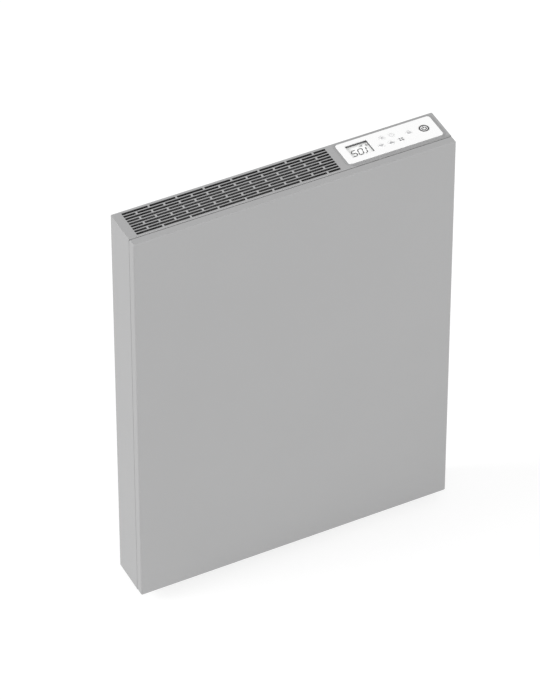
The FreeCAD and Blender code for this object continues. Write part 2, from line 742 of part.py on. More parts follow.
def core_slab(y):
    """Ceramic slab with the groove for the element."""
    slab = box((CORE_LEFT, CORE_RIGHT), y, (CORE_BOTTOM, CORE_TOP))
    slab = slab.makeFillet(CORE_ROUND, edges_along(slab, Vec(1, 0, 0)))
    return carve(slab, [tube_along(element_edges(), ELEMENT_RADIUS + ELEMENT_FIT)])


def element_ends():
    """Heights of the element's two ends."""
    return (LOWEST_RUN, HIGHEST_RUN)


def element_bushes():
    """Ceramic ends of the element, bored for its pins."""
    bushes = []
    for z in element_ends():
        start = Vec(SHEATH_END, CORE_MIDDLE, z)
        end = Vec(CRIMP_START, CORE_MIDDLE, z)
        bushes.append(carve(rod(start, end, BUSH_RADIUS), [rod(start, end, PIN_RADIUS + SCREW_FIT)]))
    return Part.makeCompound(bushes)


def crimp(start, end):
    """Crimp barrel with a bore for a wire at its far end."""
    along = (end - start).normalize()
    return carve(rod(start, end, CRIMP_RADIUS), [rod(end - along * CRIMP_DEPTH, end + along, CRIMP_BORE)])


def element_terminals():
    """Pins of the element, each with a crimp barrel."""
    terminals = []
    for z in element_ends():
        pin = rod(Vec(SHEATH_END, CORE_MIDDLE, z), Vec(LEAD_START, CORE_MIDDLE, z), PIN_RADIUS)
        barrel = crimp(Vec(CRIMP_START, CORE_MIDDLE, z), Vec(CRIMP_END, CORE_MIDDLE, z))
        terminals.append(join([pin, barrel]))
    return Part.makeCompound(terminals)


def core_holder(x):
    """Bracket under the core before its holes: foot on the back wall, shelf, and lip in front of the core."""
    lip_face = CORE_FRONT - FIT
    profile = [
        (BACK_INNER, CORE_BOTTOM - HOLDER_FOOT), (BACK_INNER, CORE_BOTTOM),
        (lip_face, CORE_BOTTOM), (lip_face, CORE_BOTTOM + HOLDER_LIP),
    ]
    points = [Vec(x - HOLDER_WIDTH / 2, y, z) for y, z in profile]
    return folded_sheet(points, HOLDER_SHEET, HOLDER_BEND, Vec(HOLDER_WIDTH, 0, 0))


def drilled_holders(holders):
    """Brackets of the core with the screw holes in their feet."""
    holes = back_holes(holder_screw_places(), SHEET + HOLDER_SHEET + OVER)
    return Part.makeCompound([carve(holder, holes) for holder in holders])


def core_lower_brackets():
    """Brackets that carry the core."""
    return drilled_holders([core_holder(x) for x in spread(2, HOLDER_SPACING)])


def core_upper_brackets():
    """The same brackets upside down over the core, with room for the core to grow."""
    holders = [core_holder(x).mirror(Vec(0, 0, CORE_MID_Z), Vec(0, 0, 1)) for x in spread(2, HOLDER_SPACING)]
    return drilled_holders([holder.translated(Vec(0, 0, EXPANSION_GAP)) for holder in holders])


def bracket_screws():
    """Screws into the core's brackets, the control shield and the terminal block."""
    length = SHEET + HOLDER_SHEET + SCREW_TIP
    places = holder_screw_places() + control_shield_screw_places() + block_screw_places()
    return Part.makeCompound(back_screws(places, length))


# Wiring
def terminal_block():
    """Mains terminal block with wire holes above and below, clamp wells in front and screw holes behind."""
    width, depth, height = BLOCK_SIZE
    x = (BLOCK_X - width / 2, BLOCK_X + width / 2)
    y = (BACK_INNER, BACK_INNER - depth)
    block = rounded_box(x, y, (BLOCK_Z - height / 2, BLOCK_TOP), SMALL_ROUND, Vec(0, 1, 0))
    cuts = back_holes(block_screw_places(), SHEET + HOLDER_SHEET + 2 * SCREW_TIP)
    for pole, z in clamp_places():
        inward = BLOCK_Z + (BLOCK_SIZE[2] / 2 - WIRE_SEAT) * (1 if z > BLOCK_Z else -1)
        outward = BLOCK_Z + BLOCK_SIZE[2] * (1 if z > BLOCK_Z else -1)
        cuts.append(rod(Vec(pole, MAINS_Y, inward), Vec(pole, MAINS_Y, outward), WIRE_RADIUS + WIRE_FIT))
        face = BACK_INNER - depth
        cuts.append(rod(Vec(pole, face - OVER, z), Vec(pole, face + CLAMP_WELL, z), CLAMP_RADIUS + SCREW_FIT))
    return carve(block, cuts)


def clamp_places():
    """Places of the block's clamp screws, by x and z."""
    rows = (BLOCK_Z - CLAMP_SPREAD, BLOCK_Z + CLAMP_SPREAD)
    return [(BLOCK_X + x, z) for x in spread(3, POLE_PITCH) for z in rows]


def terminal_screws():
    """Slotted clamp screws at the bottom of the block's wells."""
    bottom = BACK_INNER - BLOCK_SIZE[1] + CLAMP_WELL
    screws = []
    for x, z in clamp_places():
        body = rod(Vec(x, bottom, z), Vec(x, bottom - CLAMP_LENGTH, z), CLAMP_RADIUS)
        half = CROSS_WIDTH / 2
        end = bottom - CLAMP_LENGTH
        height = (z - CLAMP_RADIUS, z + CLAMP_RADIUS)
        slot = box((x - half, x + half), (end - OVER, end + CROSS_DEPTH), height)
        screws.append(carve(body, [slot]))
    return Part.makeCompound(screws)


def mains_wire(pole, lane):
    """Wire from a pole of the terminal block up to the power board."""
    x, y, radius = LANES[lane]
    start = BLOCK_X + pole
    points = [
        Vec(start, MAINS_Y, WIRE_START), Vec(start, MAINS_Y, BLOCK_TOP + LANE_SHIFT),
        Vec(x, y, BLOCK_TOP + 2 * LANE_SHIFT), Vec(x, y, POWER_BOTTOM),
    ]
    return wire_tube(points, radius, 2 * WIRE_BEND)


def earth_stud():
    """Stud on the back wall with a nut and a crimped ring lug."""
    x = BLOCK_X + POLE_PITCH
    wall = Vec(x, BACK_INNER, EARTH_Z)
    out = Vec(0, -1, 0)
    stud = rod(wall, wall + out * STUD_LENGTH, STUD_RADIUS)
    washer = rod(wall, wall + out * (LUG_DEPTH / 2), LUG_RADIUS)
    nut = rod(wall + out * (LUG_DEPTH / 2), wall + out * (LUG_DEPTH / 2 + NUT_HEIGHT), NUT_RADIUS)
    barrel_top = Vec(x, BACK_INNER - LUG_DEPTH, EARTH_Z - LUG_RADIUS + CRIMP_WALL)
    barrel = crimp(barrel_top, barrel_top - Vec(0, 0, LUG_REACH - LUG_RADIUS))
    return join([stud, washer, nut, barrel])


def earth_wire():
    """Wire from the terminal block to the earth stud."""
    x = BLOCK_X + POLE_PITCH
    y = BACK_INNER - LUG_DEPTH
    end = EARTH_Z - LUG_REACH + CRIMP_WALL + CRIMP_DEPTH
    points = [
        Vec(x, MAINS_Y, WIRE_START), Vec(x, MAINS_Y, BLOCK_TOP + WIRE_BEND),
        Vec(x, y, BLOCK_TOP + 4 * WIRE_BEND), Vec(x, y, end),
    ]
    return wire_tube(points, WIRE_RADIUS, WIRE_BEND)


def element_lead_lower():
    """Lead from the lower end of the element up to the power board."""
    x, y, radius = LANES["lower_lead"]
    points = [
        Vec(LEAD_START, CORE_MIDDLE, LOWEST_RUN), Vec(x, CORE_MIDDLE, LOWEST_RUN),
        Vec(x, y, LOWEST_RUN + LANE_SHIFT), Vec(x, y, POWER_BOTTOM),
    ]
    return wire_tube(points, radius, WIRE_BEND)


def cutout_crimps():
    """Lower and upper ends of the cut-out's crimp barrels."""
    reach = CUTOUT_CRIMP + CRIMP_LENGTH
    return CUTOUT_Z - reach, CUTOUT_Z + reach


def thermal_cutout():
    """Overheat cut-out on the side wall: flange, body and two crimp barrels."""
    thick, width, height = CUTOUT_FLANGE
    y = (CORE_MIDDLE - width / 2, CORE_MIDDLE + width / 2)
    z = (CUTOUT_Z - height / 2, CUTOUT_Z + height / 2)
    flange = rounded_box((RIGHT_INNER - thick, RIGHT_INNER), y, z, width / 4, Vec(1, 0, 0))
    centre = Vec(RIGHT_INNER - thick, CORE_MIDDLE, CUTOUT_Z)
    body = rod(centre, Vec(CUTOUT_FACE, CORE_MIDDLE, CUTOUT_Z), CUTOUT_RADIUS)
    low, high = cutout_crimps()
    axis = Vec(CUTOUT_WIRE_X, CORE_MIDDLE, 0)
    lower = crimp(axis + Vec(0, 0, CUTOUT_Z - CUTOUT_CRIMP), axis + Vec(0, 0, low))
    upper = crimp(axis + Vec(0, 0, CUTOUT_Z + CUTOUT_CRIMP), axis + Vec(0, 0, high))
    return join([flange, body, lower, upper])


def element_lead_upper():
    """Lead from the upper end of the element to the cut-out."""
    low = cutout_crimps()[0]
    points = [
        Vec(LEAD_START, CORE_MIDDLE, HIGHEST_RUN), Vec(CUTOUT_WIRE_X, CORE_MIDDLE, HIGHEST_RUN),
        Vec(CUTOUT_WIRE_X, CORE_MIDDLE, low + CRIMP_DEPTH),
    ]
    return wire_tube(points, WIRE_RADIUS, 2 * WIRE_BEND)


def cutout_lead():
    """Lead from the cut-out up to the power board."""
    x, y, radius = LANES["cutout"]
    high = cutout_crimps()[1]
    bend_z = (high + TUB_BOTTOM) / 2
    points = [
        Vec(CUTOUT_WIRE_X, y, high - CRIMP_DEPTH), Vec(CUTOUT_WIRE_X, y, bend_z - WIRE_BEND),
        Vec(x, y, bend_z + WIRE_BEND), Vec(x, y, POWER_BOTTOM),
    ]
    return wire_tube(points, radius, WIRE_BEND)


def sensor_clip():
    """Holder of the room sensor on the bottom plate."""
    half = CLIP_SIDE / 2
    x = (SENSOR_X - half, SENSOR_X + half)
    y = (SENSOR_Y - half, SENSOR_Y + half)
    clip = rounded_box(x, y, (FLOOR, FLOOR + CLIP_HEIGHT), SMALL_ROUND, Vec(0, 0, 1))
    bottom = Vec(SENSOR_X, SENSOR_Y, SENSOR_BOTTOM)
    return carve(clip, [rod(bottom, bottom + Vec(0, 0, CLIP_HEIGHT), SENSOR_RADIUS + SCREW_FIT)])


def room_sensor():
    """Temperature probe in its clip."""
    bottom = Vec(SENSOR_X, SENSOR_Y, SENSOR_BOTTOM)
    probe = rod(bottom, bottom + Vec(0, 0, SENSOR_LENGTH), SENSOR_RADIUS)
    rims = [edge for edge in probe.Edges if edge.Closed]
    return probe.makeFillet(SENSOR_RADIUS / 3, rims)


def sensor_wire():
    """Lead from the room sensor up to the power board."""
    x, y, radius = LANES["sensor"]
    points = [
        Vec(SENSOR_X, SENSOR_Y, SENSOR_TOP), Vec(SENSOR_X, SENSOR_Y, CORE_MID_Z),
        Vec(x, y, CORE_MID_Z + LANE_SHIFT), Vec(x, y, POWER_BOTTOM),
    ]
    return wire_tube(points, radius, 2 * WIRE_BEND)


# Cable gland
def gland_centre(z):
    """Point on the gland's axis."""
    return Vec(RIGHT_INNER - GLAND_INSET, BACK_INNER - GLAND_DEPTH, z)


def cable_gland():
    """Gland through the bottom plate, bored for the supply cable."""
    flange = hexagon(gland_centre(BOTTOM - GLAND_HEX), GLAND_FLATS, GLAND_HEX)
    stem = rod(gland_centre(BOTTOM - GLAND_HEX), gland_centre(BOTTOM + GLAND_STEM), GLAND_STEM_RADIUS)
    cap_top = BOTTOM - GLAND_HEX
    cap = rod(gland_centre(cap_top), gland_centre(cap_top - GLAND_CAP), GLAND_CAP_RADIUS)
    rim = [edge for edge in cap.Edges if edge.Closed and edge.BoundBox.ZMax < cap_top - GLAND_CAP / 2]
    cap = cap.makeFillet((GLAND_CAP_RADIUS - CABLE_RADIUS) / 2, rim)
    mouth = gland_centre(cap_top - GLAND_CAP - OVER)
    bore = rod(mouth, gland_centre(BOTTOM + GLAND_STEM + OVER), CABLE_RADIUS)
    return carve(join([flange, stem, cap]), [bore])


def gland_nut():
    """Nut of the gland on the inside of the bottom plate."""
    nut = hexagon(gland_centre(FLOOR), GLAND_FLATS, GLAND_NUT)
    radius = GLAND_STEM_RADIUS + GLAND_FIT
    bore = rod(gland_centre(FLOOR - OVER), gland_centre(FLOOR + GLAND_NUT + OVER), radius)
    return carve(nut, [bore])


# Control panel
def panel_block(grow, z):
    """Block of the fascia's outline, grown by a margin."""
    x = (FASCIA_LEFT - grow, FASCIA_RIGHT + grow)
    y = (FASCIA_FRONT - grow, FASCIA_BACK + grow)
    return rounded_box(x, y, z, FASCIA_CORNER + grow, Vec(0, 0, 1))


def pad_places():
    """Corners where the housing, the display board and the bezel are screwed together."""
    columns = (FASCIA_LEFT + PAD_INSET, FASCIA_RIGHT - PAD_INSET)
    rows = (FASCIA_FRONT + PAD_INSET, FASCIA_BACK - PAD_INSET)
    return [(x, y) for x in columns for y in rows]


def upright(place, z, radius):
    """Upright rod at an x and y place."""
    return rod(Vec(place[0], place[1], z[0]), Vec(place[0], place[1], z[1]), radius)


def control_bezel():
    """Rim on the top plate, collar through it, ledge under the fascia and four screw pads."""
    collar = FASCIA_FIT + BEZEL_WALL
    rim = panel_block(BEZEL_RIM, (TOP, TOP + BEZEL_PROUD))
    rim_edges = [edge for edge in rim.Edges if edge.BoundBox.ZMin > TOP + BEZEL_PROUD / 2]
    rim = rim.makeFillet(BEZEL_PROUD / 2, rim_edges)
    body = join([rim, panel_block(collar, (LEDGE_BOTTOM, TOP))])
    seat = panel_block(FASCIA_FIT, (FASCIA_BOTTOM, TOP + BEZEL_PROUD + OVER))
    inside = (FASCIA_LEFT + LEDGE, FASCIA_RIGHT - LEDGE)
    across = (FASCIA_FRONT + LEDGE, FASCIA_BACK - LEDGE)
    body = carve(body, [seat, box(inside, across, (LEDGE_BOTTOM - OVER, FASCIA_TOP))])
    pads = [upright(place, (DISPLAY_TOP, FASCIA_BOTTOM), PAD_RADIUS) for place in pad_places()]
    pilot = SMALL_SCREW_RADIUS + SCREW_FIT
    depth = (DISPLAY_TOP - OVER, DISPLAY_TOP + PILOT_DEPTH)
    pilots = [upright(place, depth, pilot) for place in pad_places()]
    return carve(join([body] + pads), pilots)


def lcd_block(grow, z):
    """Block of the display opening, grown by a margin."""
    return box((LCD_X[0] - grow, LCD_X[1] + grow), (LCD_Y[0] - grow, LCD_Y[1] + grow), z)


def control_fascia():
    """White panel with the display opening and the key holes."""
    fascia = panel_block(0, (FASCIA_BOTTOM, FASCIA_TOP))
    upper_rim = [edge for edge in fascia.Edges if edge.BoundBox.ZMin > FASCIA_TOP - FASCIA_THICK / 2]
    fascia = fascia.makeFillet(KEY_ROUND, upper_rim)
    through = (FASCIA_BOTTOM - OVER, FASCIA_TOP + OVER)
    cuts = [lcd_block(0, through)]
    cuts += [upright((x, y), through, radius + KEY_FIT) for x, y, radius in KEYS.values()]
    return carve(fascia, cuts)


def lcd_gasket():
    """Dark frame that lines the display opening down to the window."""
    z = (WINDOW_TOP, FASCIA_TOP - GASKET_DROP)
    inner = lcd_block(-GASKET_FIT - GASKET_WALL, (WINDOW_TOP - OVER, FASCIA_TOP + OVER))
    return carve(lcd_block(-GASKET_FIT, z), [inner])


def lcd_window():
    """Clear sheet over the display."""
    return lcd_block(LCD_MARGIN, (WINDOW_TOP - WINDOW_THICK, WINDOW_TOP))


def lcd_module():
    """Display between the window and the board."""
    return lcd_block(LCD_MARGIN, (DISPLAY_TOP, WINDOW_TOP - WINDOW_THICK))


def display_board():
    """Board that carries the display and the switches."""
    inset = TUB_WALL + BOARD_FIT
    board = panel_block(-inset, (DISPLAY_BOTTOM, DISPLAY_TOP))
    through = (DISPLAY_BOTTOM - OVER, DISPLAY_TOP + OVER)
    return carve(board, [upright(place, through, SMALL_SCREW_RADIUS + SCREW_FIT) for place in pad_places()])


def tactile_switches():
    """One switch under each key, with a well for the key's stem."""
    half = SWITCH_SIDE / 2
    switches = []
    for x, y, radius in KEYS.values():
        body = box((x - half, x + half), (y - half, y + half), (DISPLAY_TOP, SWITCH_TOP))
        well = upright((x, y), (DISPLAY_TOP + SWITCH_FLOOR, SWITCH_TOP + OVER), STEM_RADIUS + STEM_FIT)
        switches.append(carve(body, [well]))
    return Part.makeCompound(switches)


def push_key(x, y, radius):
    """Push key: cap in the fascia, rim under it and stem down to its switch."""
    top = FASCIA_TOP + KEY_PROUD
    cap = upright((x, y), (KEY_RIM_TOP, top), radius)
    upper_rim = [edge for edge in cap.Edges if edge.Closed and edge.BoundBox.ZMin > KEY_RIM_TOP]
    cap = cap.makeFillet(KEY_ROUND, upper_rim)
    rim = upright((x, y), (KEY_RIM_BOTTOM, KEY_RIM_TOP), radius + KEY_RIM)
    stem = upright((x, y), (SWITCH_TOP - STEM_ENGAGE, KEY_RIM_BOTTOM), STEM_RADIUS)
    return join([cap, rim, stem])


def control_housing():
    """Tub under the panel, with screw columns, board posts and wire holes."""
    tub = panel_block(0, (TUB_BOTTOM, LEDGE_BOTTOM))
    tub = carve(tub, [panel_block(-TUB_WALL, (TUB_FLOOR, LEDGE_BOTTOM + OVER))])
    columns = [upright(place, (TUB_BOTTOM, DISPLAY_BOTTOM), COLUMN_RADIUS) for place in pad_places()]
    posts = [upright(place, (TUB_BOTTOM, POWER_BOTTOM), POST_RADIUS) for place in post_places()]
    head_z = DISPLAY_BOTTOM - COLUMN_HEAD_DROP
    cuts = []
    for place in pad_places():
        cuts.append(upright(place, (TUB_BOTTOM - OVER, head_z), SMALL_HEAD_RADIUS + FIT))
        cuts.append(upright(place, (head_z - OVER, DISPLAY_BOTTOM + OVER), SMALL_SCREW_RADIUS + SCREW_FIT))
    for place in post_places():
        cuts.append(upright(place, (TUB_FLOOR, POWER_BOTTOM + OVER), SMALL_SCREW_RADIUS + SCREW_FIT))
    for x, y, radius in LANES.values():
        cuts.append(upright((x, y), (TUB_BOTTOM - OVER, TUB_FLOOR + OVER), radius + WIRE_FIT))
    outer = panel_block(0, (TUB_BOTTOM, LEDGE_BOTTOM))
    return carve(join([tub] + columns + posts).common(outer), cuts)


def power_bounds():
    """Bounds of the power board in x and y."""
    x = (FASCIA_LEFT + POWER_X_INSET, FASCIA_RIGHT - POWER_X_INSET)
    y = (FASCIA_FRONT + POWER_Y_INSET, FASCIA_BACK - POWER_Y_INSET)
    return x, y


def post_places():
    """Screw places of the power board."""
    x, y = power_bounds()
    columns = (x[0] + POST_INSET, x[1] - POST_INSET)
    rows = (y[0] + POST_INSET, y[1] - POST_INSET)
    return [(column, row) for column in columns for row in rows]


def power_board():
    """Board with the supply and the relay."""
    x, y = power_bounds()
    board = box(x, y, (POWER_BOTTOM, POWER_TOP))
    through = (POWER_BOTTOM - OVER, POWER_TOP + OVER)
    return carve(board, [upright(place, through, SMALL_SCREW_RADIUS + SCREW_FIT) for place in post_places()])


def component_block(left, size):
    """Block of a component on the power board, centred across it."""
    x = (left, left + size[0])
    y = (FASCIA_MIDDLE - size[1] / 2, FASCIA_MIDDLE + size[1] / 2)
    return rounded_box(x, y, (POWER_TOP, POWER_TOP + size[2]), SMALL_ROUND, Vec(0, 0, 1))


def transformer_left():
    """Left end of the transformer on the power board."""
    return power_bounds()[0][0] + COMPONENT_INSET


def relay_left():
    """Left end of the relay on the power board."""
    return transformer_left() + TRANSFORMER_SIZE[0] + COMPONENT_GAP


def capacitor():
    """Round capacitor beside the relay."""
    place = (relay_left() + RELAY_SIZE[0] + COMPONENT_GAP + CAPACITOR_RADIUS, FASCIA_MIDDLE)
    can = upright(place, (POWER_TOP, POWER_TOP + CAPACITOR_HEIGHT), CAPACITOR_RADIUS)
    upper_rim = [edge for edge in can.Edges if edge.Closed and edge.BoundBox.ZMin > POWER_TOP]
    return can.makeFillet(SMALL_ROUND / 2, upper_rim)


def housing_screws():
    """Screws up through the housing's columns and the display board into the bezel."""
    seat = DISPLAY_BOTTOM - COLUMN_HEAD_DROP
    length = COLUMN_HEAD_DROP + BOARD_THICK + PILOT_DEPTH - SCREW_TIP
    return Part.makeCompound([small_screw(Vec(x, y, seat), Vec(0, 0, 1), length) for x, y in pad_places()])


def board_screws():
    """Screws down through the power board into its posts."""
    length = BOARD_THICK + POST_HEIGHT - SCREW_TIP
    seats = [Vec(x, y, POWER_TOP) for x, y in post_places()]
    return Part.makeCompound([small_screw(seat, Vec(0, 0, -1), length) for seat in seats])


def control_shield_ends():
    """Left and right ends of the control shield."""
    return FASCIA_LEFT - CONTROL_SHIELD_OVERHANG, CORE_RIGHT + CONTROL_SHIELD_OVERHANG


def control_shield_top():
    """Height of the control shield's upper face."""
    return TUB_BOTTOM - SHIELD_GAP


def control_shield():
    """Sheet that keeps the core's heat off the control housing."""
    left, right = control_shield_ends()
    z = control_shield_top()
    front = FASCIA_FRONT - CONTROL_SHIELD_OVERHANG
    points = [Vec(left, BACK_INNER, z - CONTROL_SHIELD_FLANGE), Vec(left, BACK_INNER, z), Vec(left, front, z)]
    sheet = folded_sheet(points, CONTROL_SHIELD_SHEET, BEND, Vec(right - left, 0, 0))
    return carve(sheet, back_holes(control_shield_screw_places(), WALL_GAP))


# Wall brackets
def wall_holes(z):
    """A rail's two holes for the wall screws."""
    ends = [(Vec(x, OVER, z), Vec(x, -RAIL_SHEET - OVER, z)) for x in (-HOLE_X, HOLE_X)]
    return [rod(start, end, HOLE_RADIUS) for start, end in ends]


def upper_bracket():
    """Rail on the wall whose bent ends are hooks with upturned tips."""
    outer = HOOK_X + RAIL_SHEET / 2
    bottom = HOLE_Z - RAIL_DROP
    tip = ARM_TOP + TIP_HEIGHT
    outline = [(outer, ARM_END), (outer, 0), (-outer, 0), (-outer, ARM_END)]
    points = [Vec(x, y, bottom) for x, y in outline]
    rail = folded_sheet(points, RAIL_SHEET, RAIL_BEND, Vec(0, 0, tip - bottom))
    wide = (-outer - OVER, outer + OVER)
    cuts = [box(wide, (TIP_BACK, OVER), (ARM_TOP, tip + OVER))]
    cuts.append(box(wide, (ARM_END - OVER, BACK + SHOULDER_GAP), (bottom - OVER, ARM_TOP - ARM_HEIGHT)))
    return carve(rail, cuts + wall_holes(HOLE_Z))


def lower_bracket():
    """Channel on the wall that carries the bumpers."""
    end = HOLE_X + LOWER_RAIL_END
    profile = [
        (0, -HOLE_Z + LOWER_RAIL_TOP), (0, LAND_BOTTOM),
        (LAND_FACE, LAND_BOTTOM), (LAND_FACE, LAND_BOTTOM + LAND_HEIGHT),
    ]
    channel = folded_sheet([Vec(end, y, z) for y, z in profile], RAIL_SHEET, RAIL_BEND, Vec(-2 * end, 0, 0))
    cuts = wall_holes(-HOLE_Z)
    for x in (-HOLE_X, HOLE_X):
        inner = Vec(x, LAND_FACE + RAIL_SHEET + OVER, BUMPER_Z)
        cuts.append(rod(inner, Vec(x, LAND_FACE - OVER, BUMPER_Z), BUMPER_STEM + BUMPER_FIT))
    return carve(channel, cuts)


def bracket_bumpers():
    """Rubber buttons pushed into the lower rail."""
    bumpers = []
    for x in (-HOLE_X, HOLE_X):
        face = Vec(x, LAND_FACE, BUMPER_Z)
        behind = face + Vec(0, RAIL_SHEET, 0)
        disc = rod(face, face - Vec(0, BUMPER_HEIGHT, 0), BUMPER_RADIUS)
        middle = LAND_FACE - BUMPER_HEIGHT / 2
        front_rim = [edge for edge in disc.Edges if edge.Closed and edge.BoundBox.YMax < middle]
        disc = disc.makeFillet(BUMPER_HEIGHT / 3, front_rim)
        stem = rod(face, behind, BUMPER_STEM)
        barb = rod(behind, behind + Vec(0, BUMPER_BARB_LENGTH, 0), BUMPER_BARB)
        bumpers.append(join([disc, stem, barb]))
    return Part.makeCompound(bumpers)


NODES = {
    "rear_casing": rear_casing(),
    "top_plate": top_plate(),
    "bottom_plate": bottom_plate(),
    "front_panel": front_panel(),
    "panel_catches": panel_catches(),
    "panel_screws": panel_screws(),
    "plate_screws": plate_screws(),
    "upper_bracket": upper_bracket(),
    "lower_bracket": lower_bracket(),
    "bracket_bumpers": bracket_bumpers(),
    "insulation_board": insulation_board(),
    "heat_shield": heat_shield(),
    "shield_screws": shield_screws(),
    "core_rear": core_slab((CORE_MIDDLE, CORE_BACK)),
    "core_front": core_slab((CORE_FRONT, CORE_MIDDLE)),
    "heating_element": heating_element(),
    "element_bushes": element_bushes(),
    "element_terminals": element_terminals(),
    "core_lower_brackets": core_lower_brackets(),
    "core_upper_brackets": core_upper_brackets(),
    "bracket_screws": bracket_screws(),
    "thermal_cutout": thermal_cutout(),
    "terminal_block": terminal_block(),
    "terminal_screws": terminal_screws(),
    "earth_stud": earth_stud(),
    "earth_wire": earth_wire(),
    "live_wire": mains_wire(-POLE_PITCH, "live"),
    "neutral_wire": mains_wire(0.0, "neutral"),
    "element_lead_lower": element_lead_lower(),
    "element_lead_upper": element_lead_upper(),
    "cutout_lead": cutout_lead(),
    "room_sensor": room_sensor(),
    "sensor_clip": sensor_clip(),
    "sensor_wire": sensor_wire(),
    "cable_gland": cable_gland(),
    "gland_nut": gland_nut(),
    "control_bezel": control_bezel(),
    "control_fascia": control_fascia(),
    "lcd_gasket": lcd_gasket(),
    "lcd_window": lcd_window(),
    "lcd_module": lcd_module(),
    "display_board": display_board(),
    "tactile_switches": tactile_switches(),
    "control_housing": control_housing(),
    "power_board": power_board(),
    "relay": component_block(relay_left(), RELAY_SIZE),
    "transformer": component_block(transformer_left(), TRANSFORMER_SIZE),
    "capacitor": capacitor(),
    "housing_screws": housing_screws(),
    "board_screws": board_screws(),
    "control_shield": control_shield(),
}
for key_name, key_place in KEYS.items():
    NODES[key_name] = push_key(*key_place)

os.makedirs("parts", exist_ok=True)
for node_name, node_shape in NODES.items():
    node_shape.exportStep("parts/%s.step" % node_name)
    print(node_name, len(node_shape.Solids), round(node_shape.Volume, 1), node_shape.isValid())
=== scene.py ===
import math
import bmesh
import bpy
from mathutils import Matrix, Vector


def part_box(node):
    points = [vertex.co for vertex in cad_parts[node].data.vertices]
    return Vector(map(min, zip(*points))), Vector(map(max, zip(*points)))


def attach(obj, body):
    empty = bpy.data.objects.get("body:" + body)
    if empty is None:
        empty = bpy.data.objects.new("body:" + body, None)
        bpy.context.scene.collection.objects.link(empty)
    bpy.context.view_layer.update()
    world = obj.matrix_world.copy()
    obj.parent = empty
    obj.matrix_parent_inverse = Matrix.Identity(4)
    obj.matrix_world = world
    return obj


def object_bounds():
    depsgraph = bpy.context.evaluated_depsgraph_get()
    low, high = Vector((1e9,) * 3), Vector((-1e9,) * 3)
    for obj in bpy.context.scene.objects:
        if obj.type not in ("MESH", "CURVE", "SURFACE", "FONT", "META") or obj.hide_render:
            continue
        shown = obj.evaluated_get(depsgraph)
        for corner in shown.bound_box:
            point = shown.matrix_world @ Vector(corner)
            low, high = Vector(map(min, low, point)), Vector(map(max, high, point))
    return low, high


# Looks of a slim wall-hung electric radiator, in metres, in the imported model's frame.
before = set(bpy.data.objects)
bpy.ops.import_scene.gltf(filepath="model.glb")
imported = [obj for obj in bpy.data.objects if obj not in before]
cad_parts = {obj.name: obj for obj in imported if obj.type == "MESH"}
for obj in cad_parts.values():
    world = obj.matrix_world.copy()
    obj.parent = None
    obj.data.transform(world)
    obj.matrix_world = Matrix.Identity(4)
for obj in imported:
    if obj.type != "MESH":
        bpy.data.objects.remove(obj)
cad_low, cad_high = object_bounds()

MM = 0.001

# Camera, with its angles in degrees and its lens and sensor in millimetres
CAMERA_PLACE = (-2.1701, -4.3257, 4.2736)
CAMERA_AZIMUTH = -26.673
CAMERA_ELEVATION = 41.606
CAMERA_LENS = 256.92
SENSOR_HEIGHT = 36.0

# Light, with its angles in degrees, where a level of 1 on a surface renders its colour as written
SKY_LEVEL = 0.61
SIDE_LEVEL = 0.622
SIDE_AZIMUTH = -105.0
SIDE_ELEVATION = 30.0
FRONT_LEVEL = 0.420
FRONT_AZIMUTH = 25.0
FRONT_ELEVATION = 14.0
LAMP_SPREAD = 24.0

# Floor: its gap under the radiator, its side, what it gives back to the radiator and how it looks when seen
FLOOR_GAP = 0.002
FLOOR_SIDE = 24.0
FLOOR_COLOUR = 0.82
FLOOR_GLOW = 0.80
FLOOR_SHADE = 0.26

# Colours of the casing and the control panel, linear
PAINT = (0.379, 0.379, 0.381)
# Dark coat of the sheet, painted shade in the seam, the slots and inside the casing
PAINTED_SHADE = (0.100, 0.100, 0.102)
BEZEL = (0.325, 0.325, 0.327)
WHITE = (0.950, 0.950, 0.950)
# Dark walls of the display's recess, painted shade
GASKET_SHADE = (0.095, 0.095, 0.097)
DISPLAY = (0.900, 0.905, 0.900)
# Glow of the display: a backlight, and painted light against the shade of its recess
BACKLIGHT_AND_LIFT_TINT = (1.0, 1.0, 0.98)
WINDOW_DULL = (0.90, 0.92, 0.92)
WINDOW_CLEAR = (0.96, 0.97, 0.97)
INK_DARK = (0.020, 0.020, 0.021)
INK_POWER = (0.035, 0.035, 0.037)
INK_GREY = (0.200, 0.200, 0.204)
INK_PALE = (0.420, 0.420, 0.428)
INK_FAINT = (0.550, 0.550, 0.558)

# Colours of metals, mouldings and what is inside, linear
GALVANISED = (0.560, 0.570, 0.580)
ZINC = (0.620, 0.620, 0.600)
BRIGHT_STEEL = (0.80, 0.81, 0.82)
DARK_STEEL = (0.16, 0.155, 0.15)
BRASS = (0.62, 0.42, 0.14)
RUBBER = (0.022, 0.022, 0.022)
MINERAL = (0.50, 0.44, 0.28)
STORAGE_CERAMIC = (0.22, 0.13, 0.085)
BUSH_CERAMIC = (0.76, 0.74, 0.68)
BLACK = (0.018, 0.018, 0.019)
IVORY = (0.72, 0.70, 0.62)
GLAND = (0.045, 0.045, 0.047)
HOUSING = (0.055, 0.055, 0.058)
POTTING = (0.030, 0.030, 0.036)
SLEEVE = (0.07, 0.08, 0.16)
WIRE_GREEN = (0.05, 0.28, 0.05)
WIRE_YELLOW = (0.75, 0.62, 0.04)
WIRE_BROWN = (0.095, 0.042, 0.018)
WIRE_BLUE = (0.02, 0.06, 0.30)
WIRE_PALE = (0.60, 0.60, 0.60)
BOARD = (0.02, 0.13, 0.05)
BOARD_DARK = (0.02, 0.11, 0.04)
BOARD_TRACK = (0.05, 0.22, 0.09)

# Powder coat: grains to the metre of its relief, its slow drift and its speckle, and the speckle's share,
# with its gloss and the depth of its relief
COAT_GRAIN = 1400.0
COAT_DRIFT = 9.0
COAT_SPECKLE = 5200.0
SPECKLE_SHARE = 0.35
COAT_ROUGHNESS = 0.66
COAT_RELIEF = 0.03 * MM
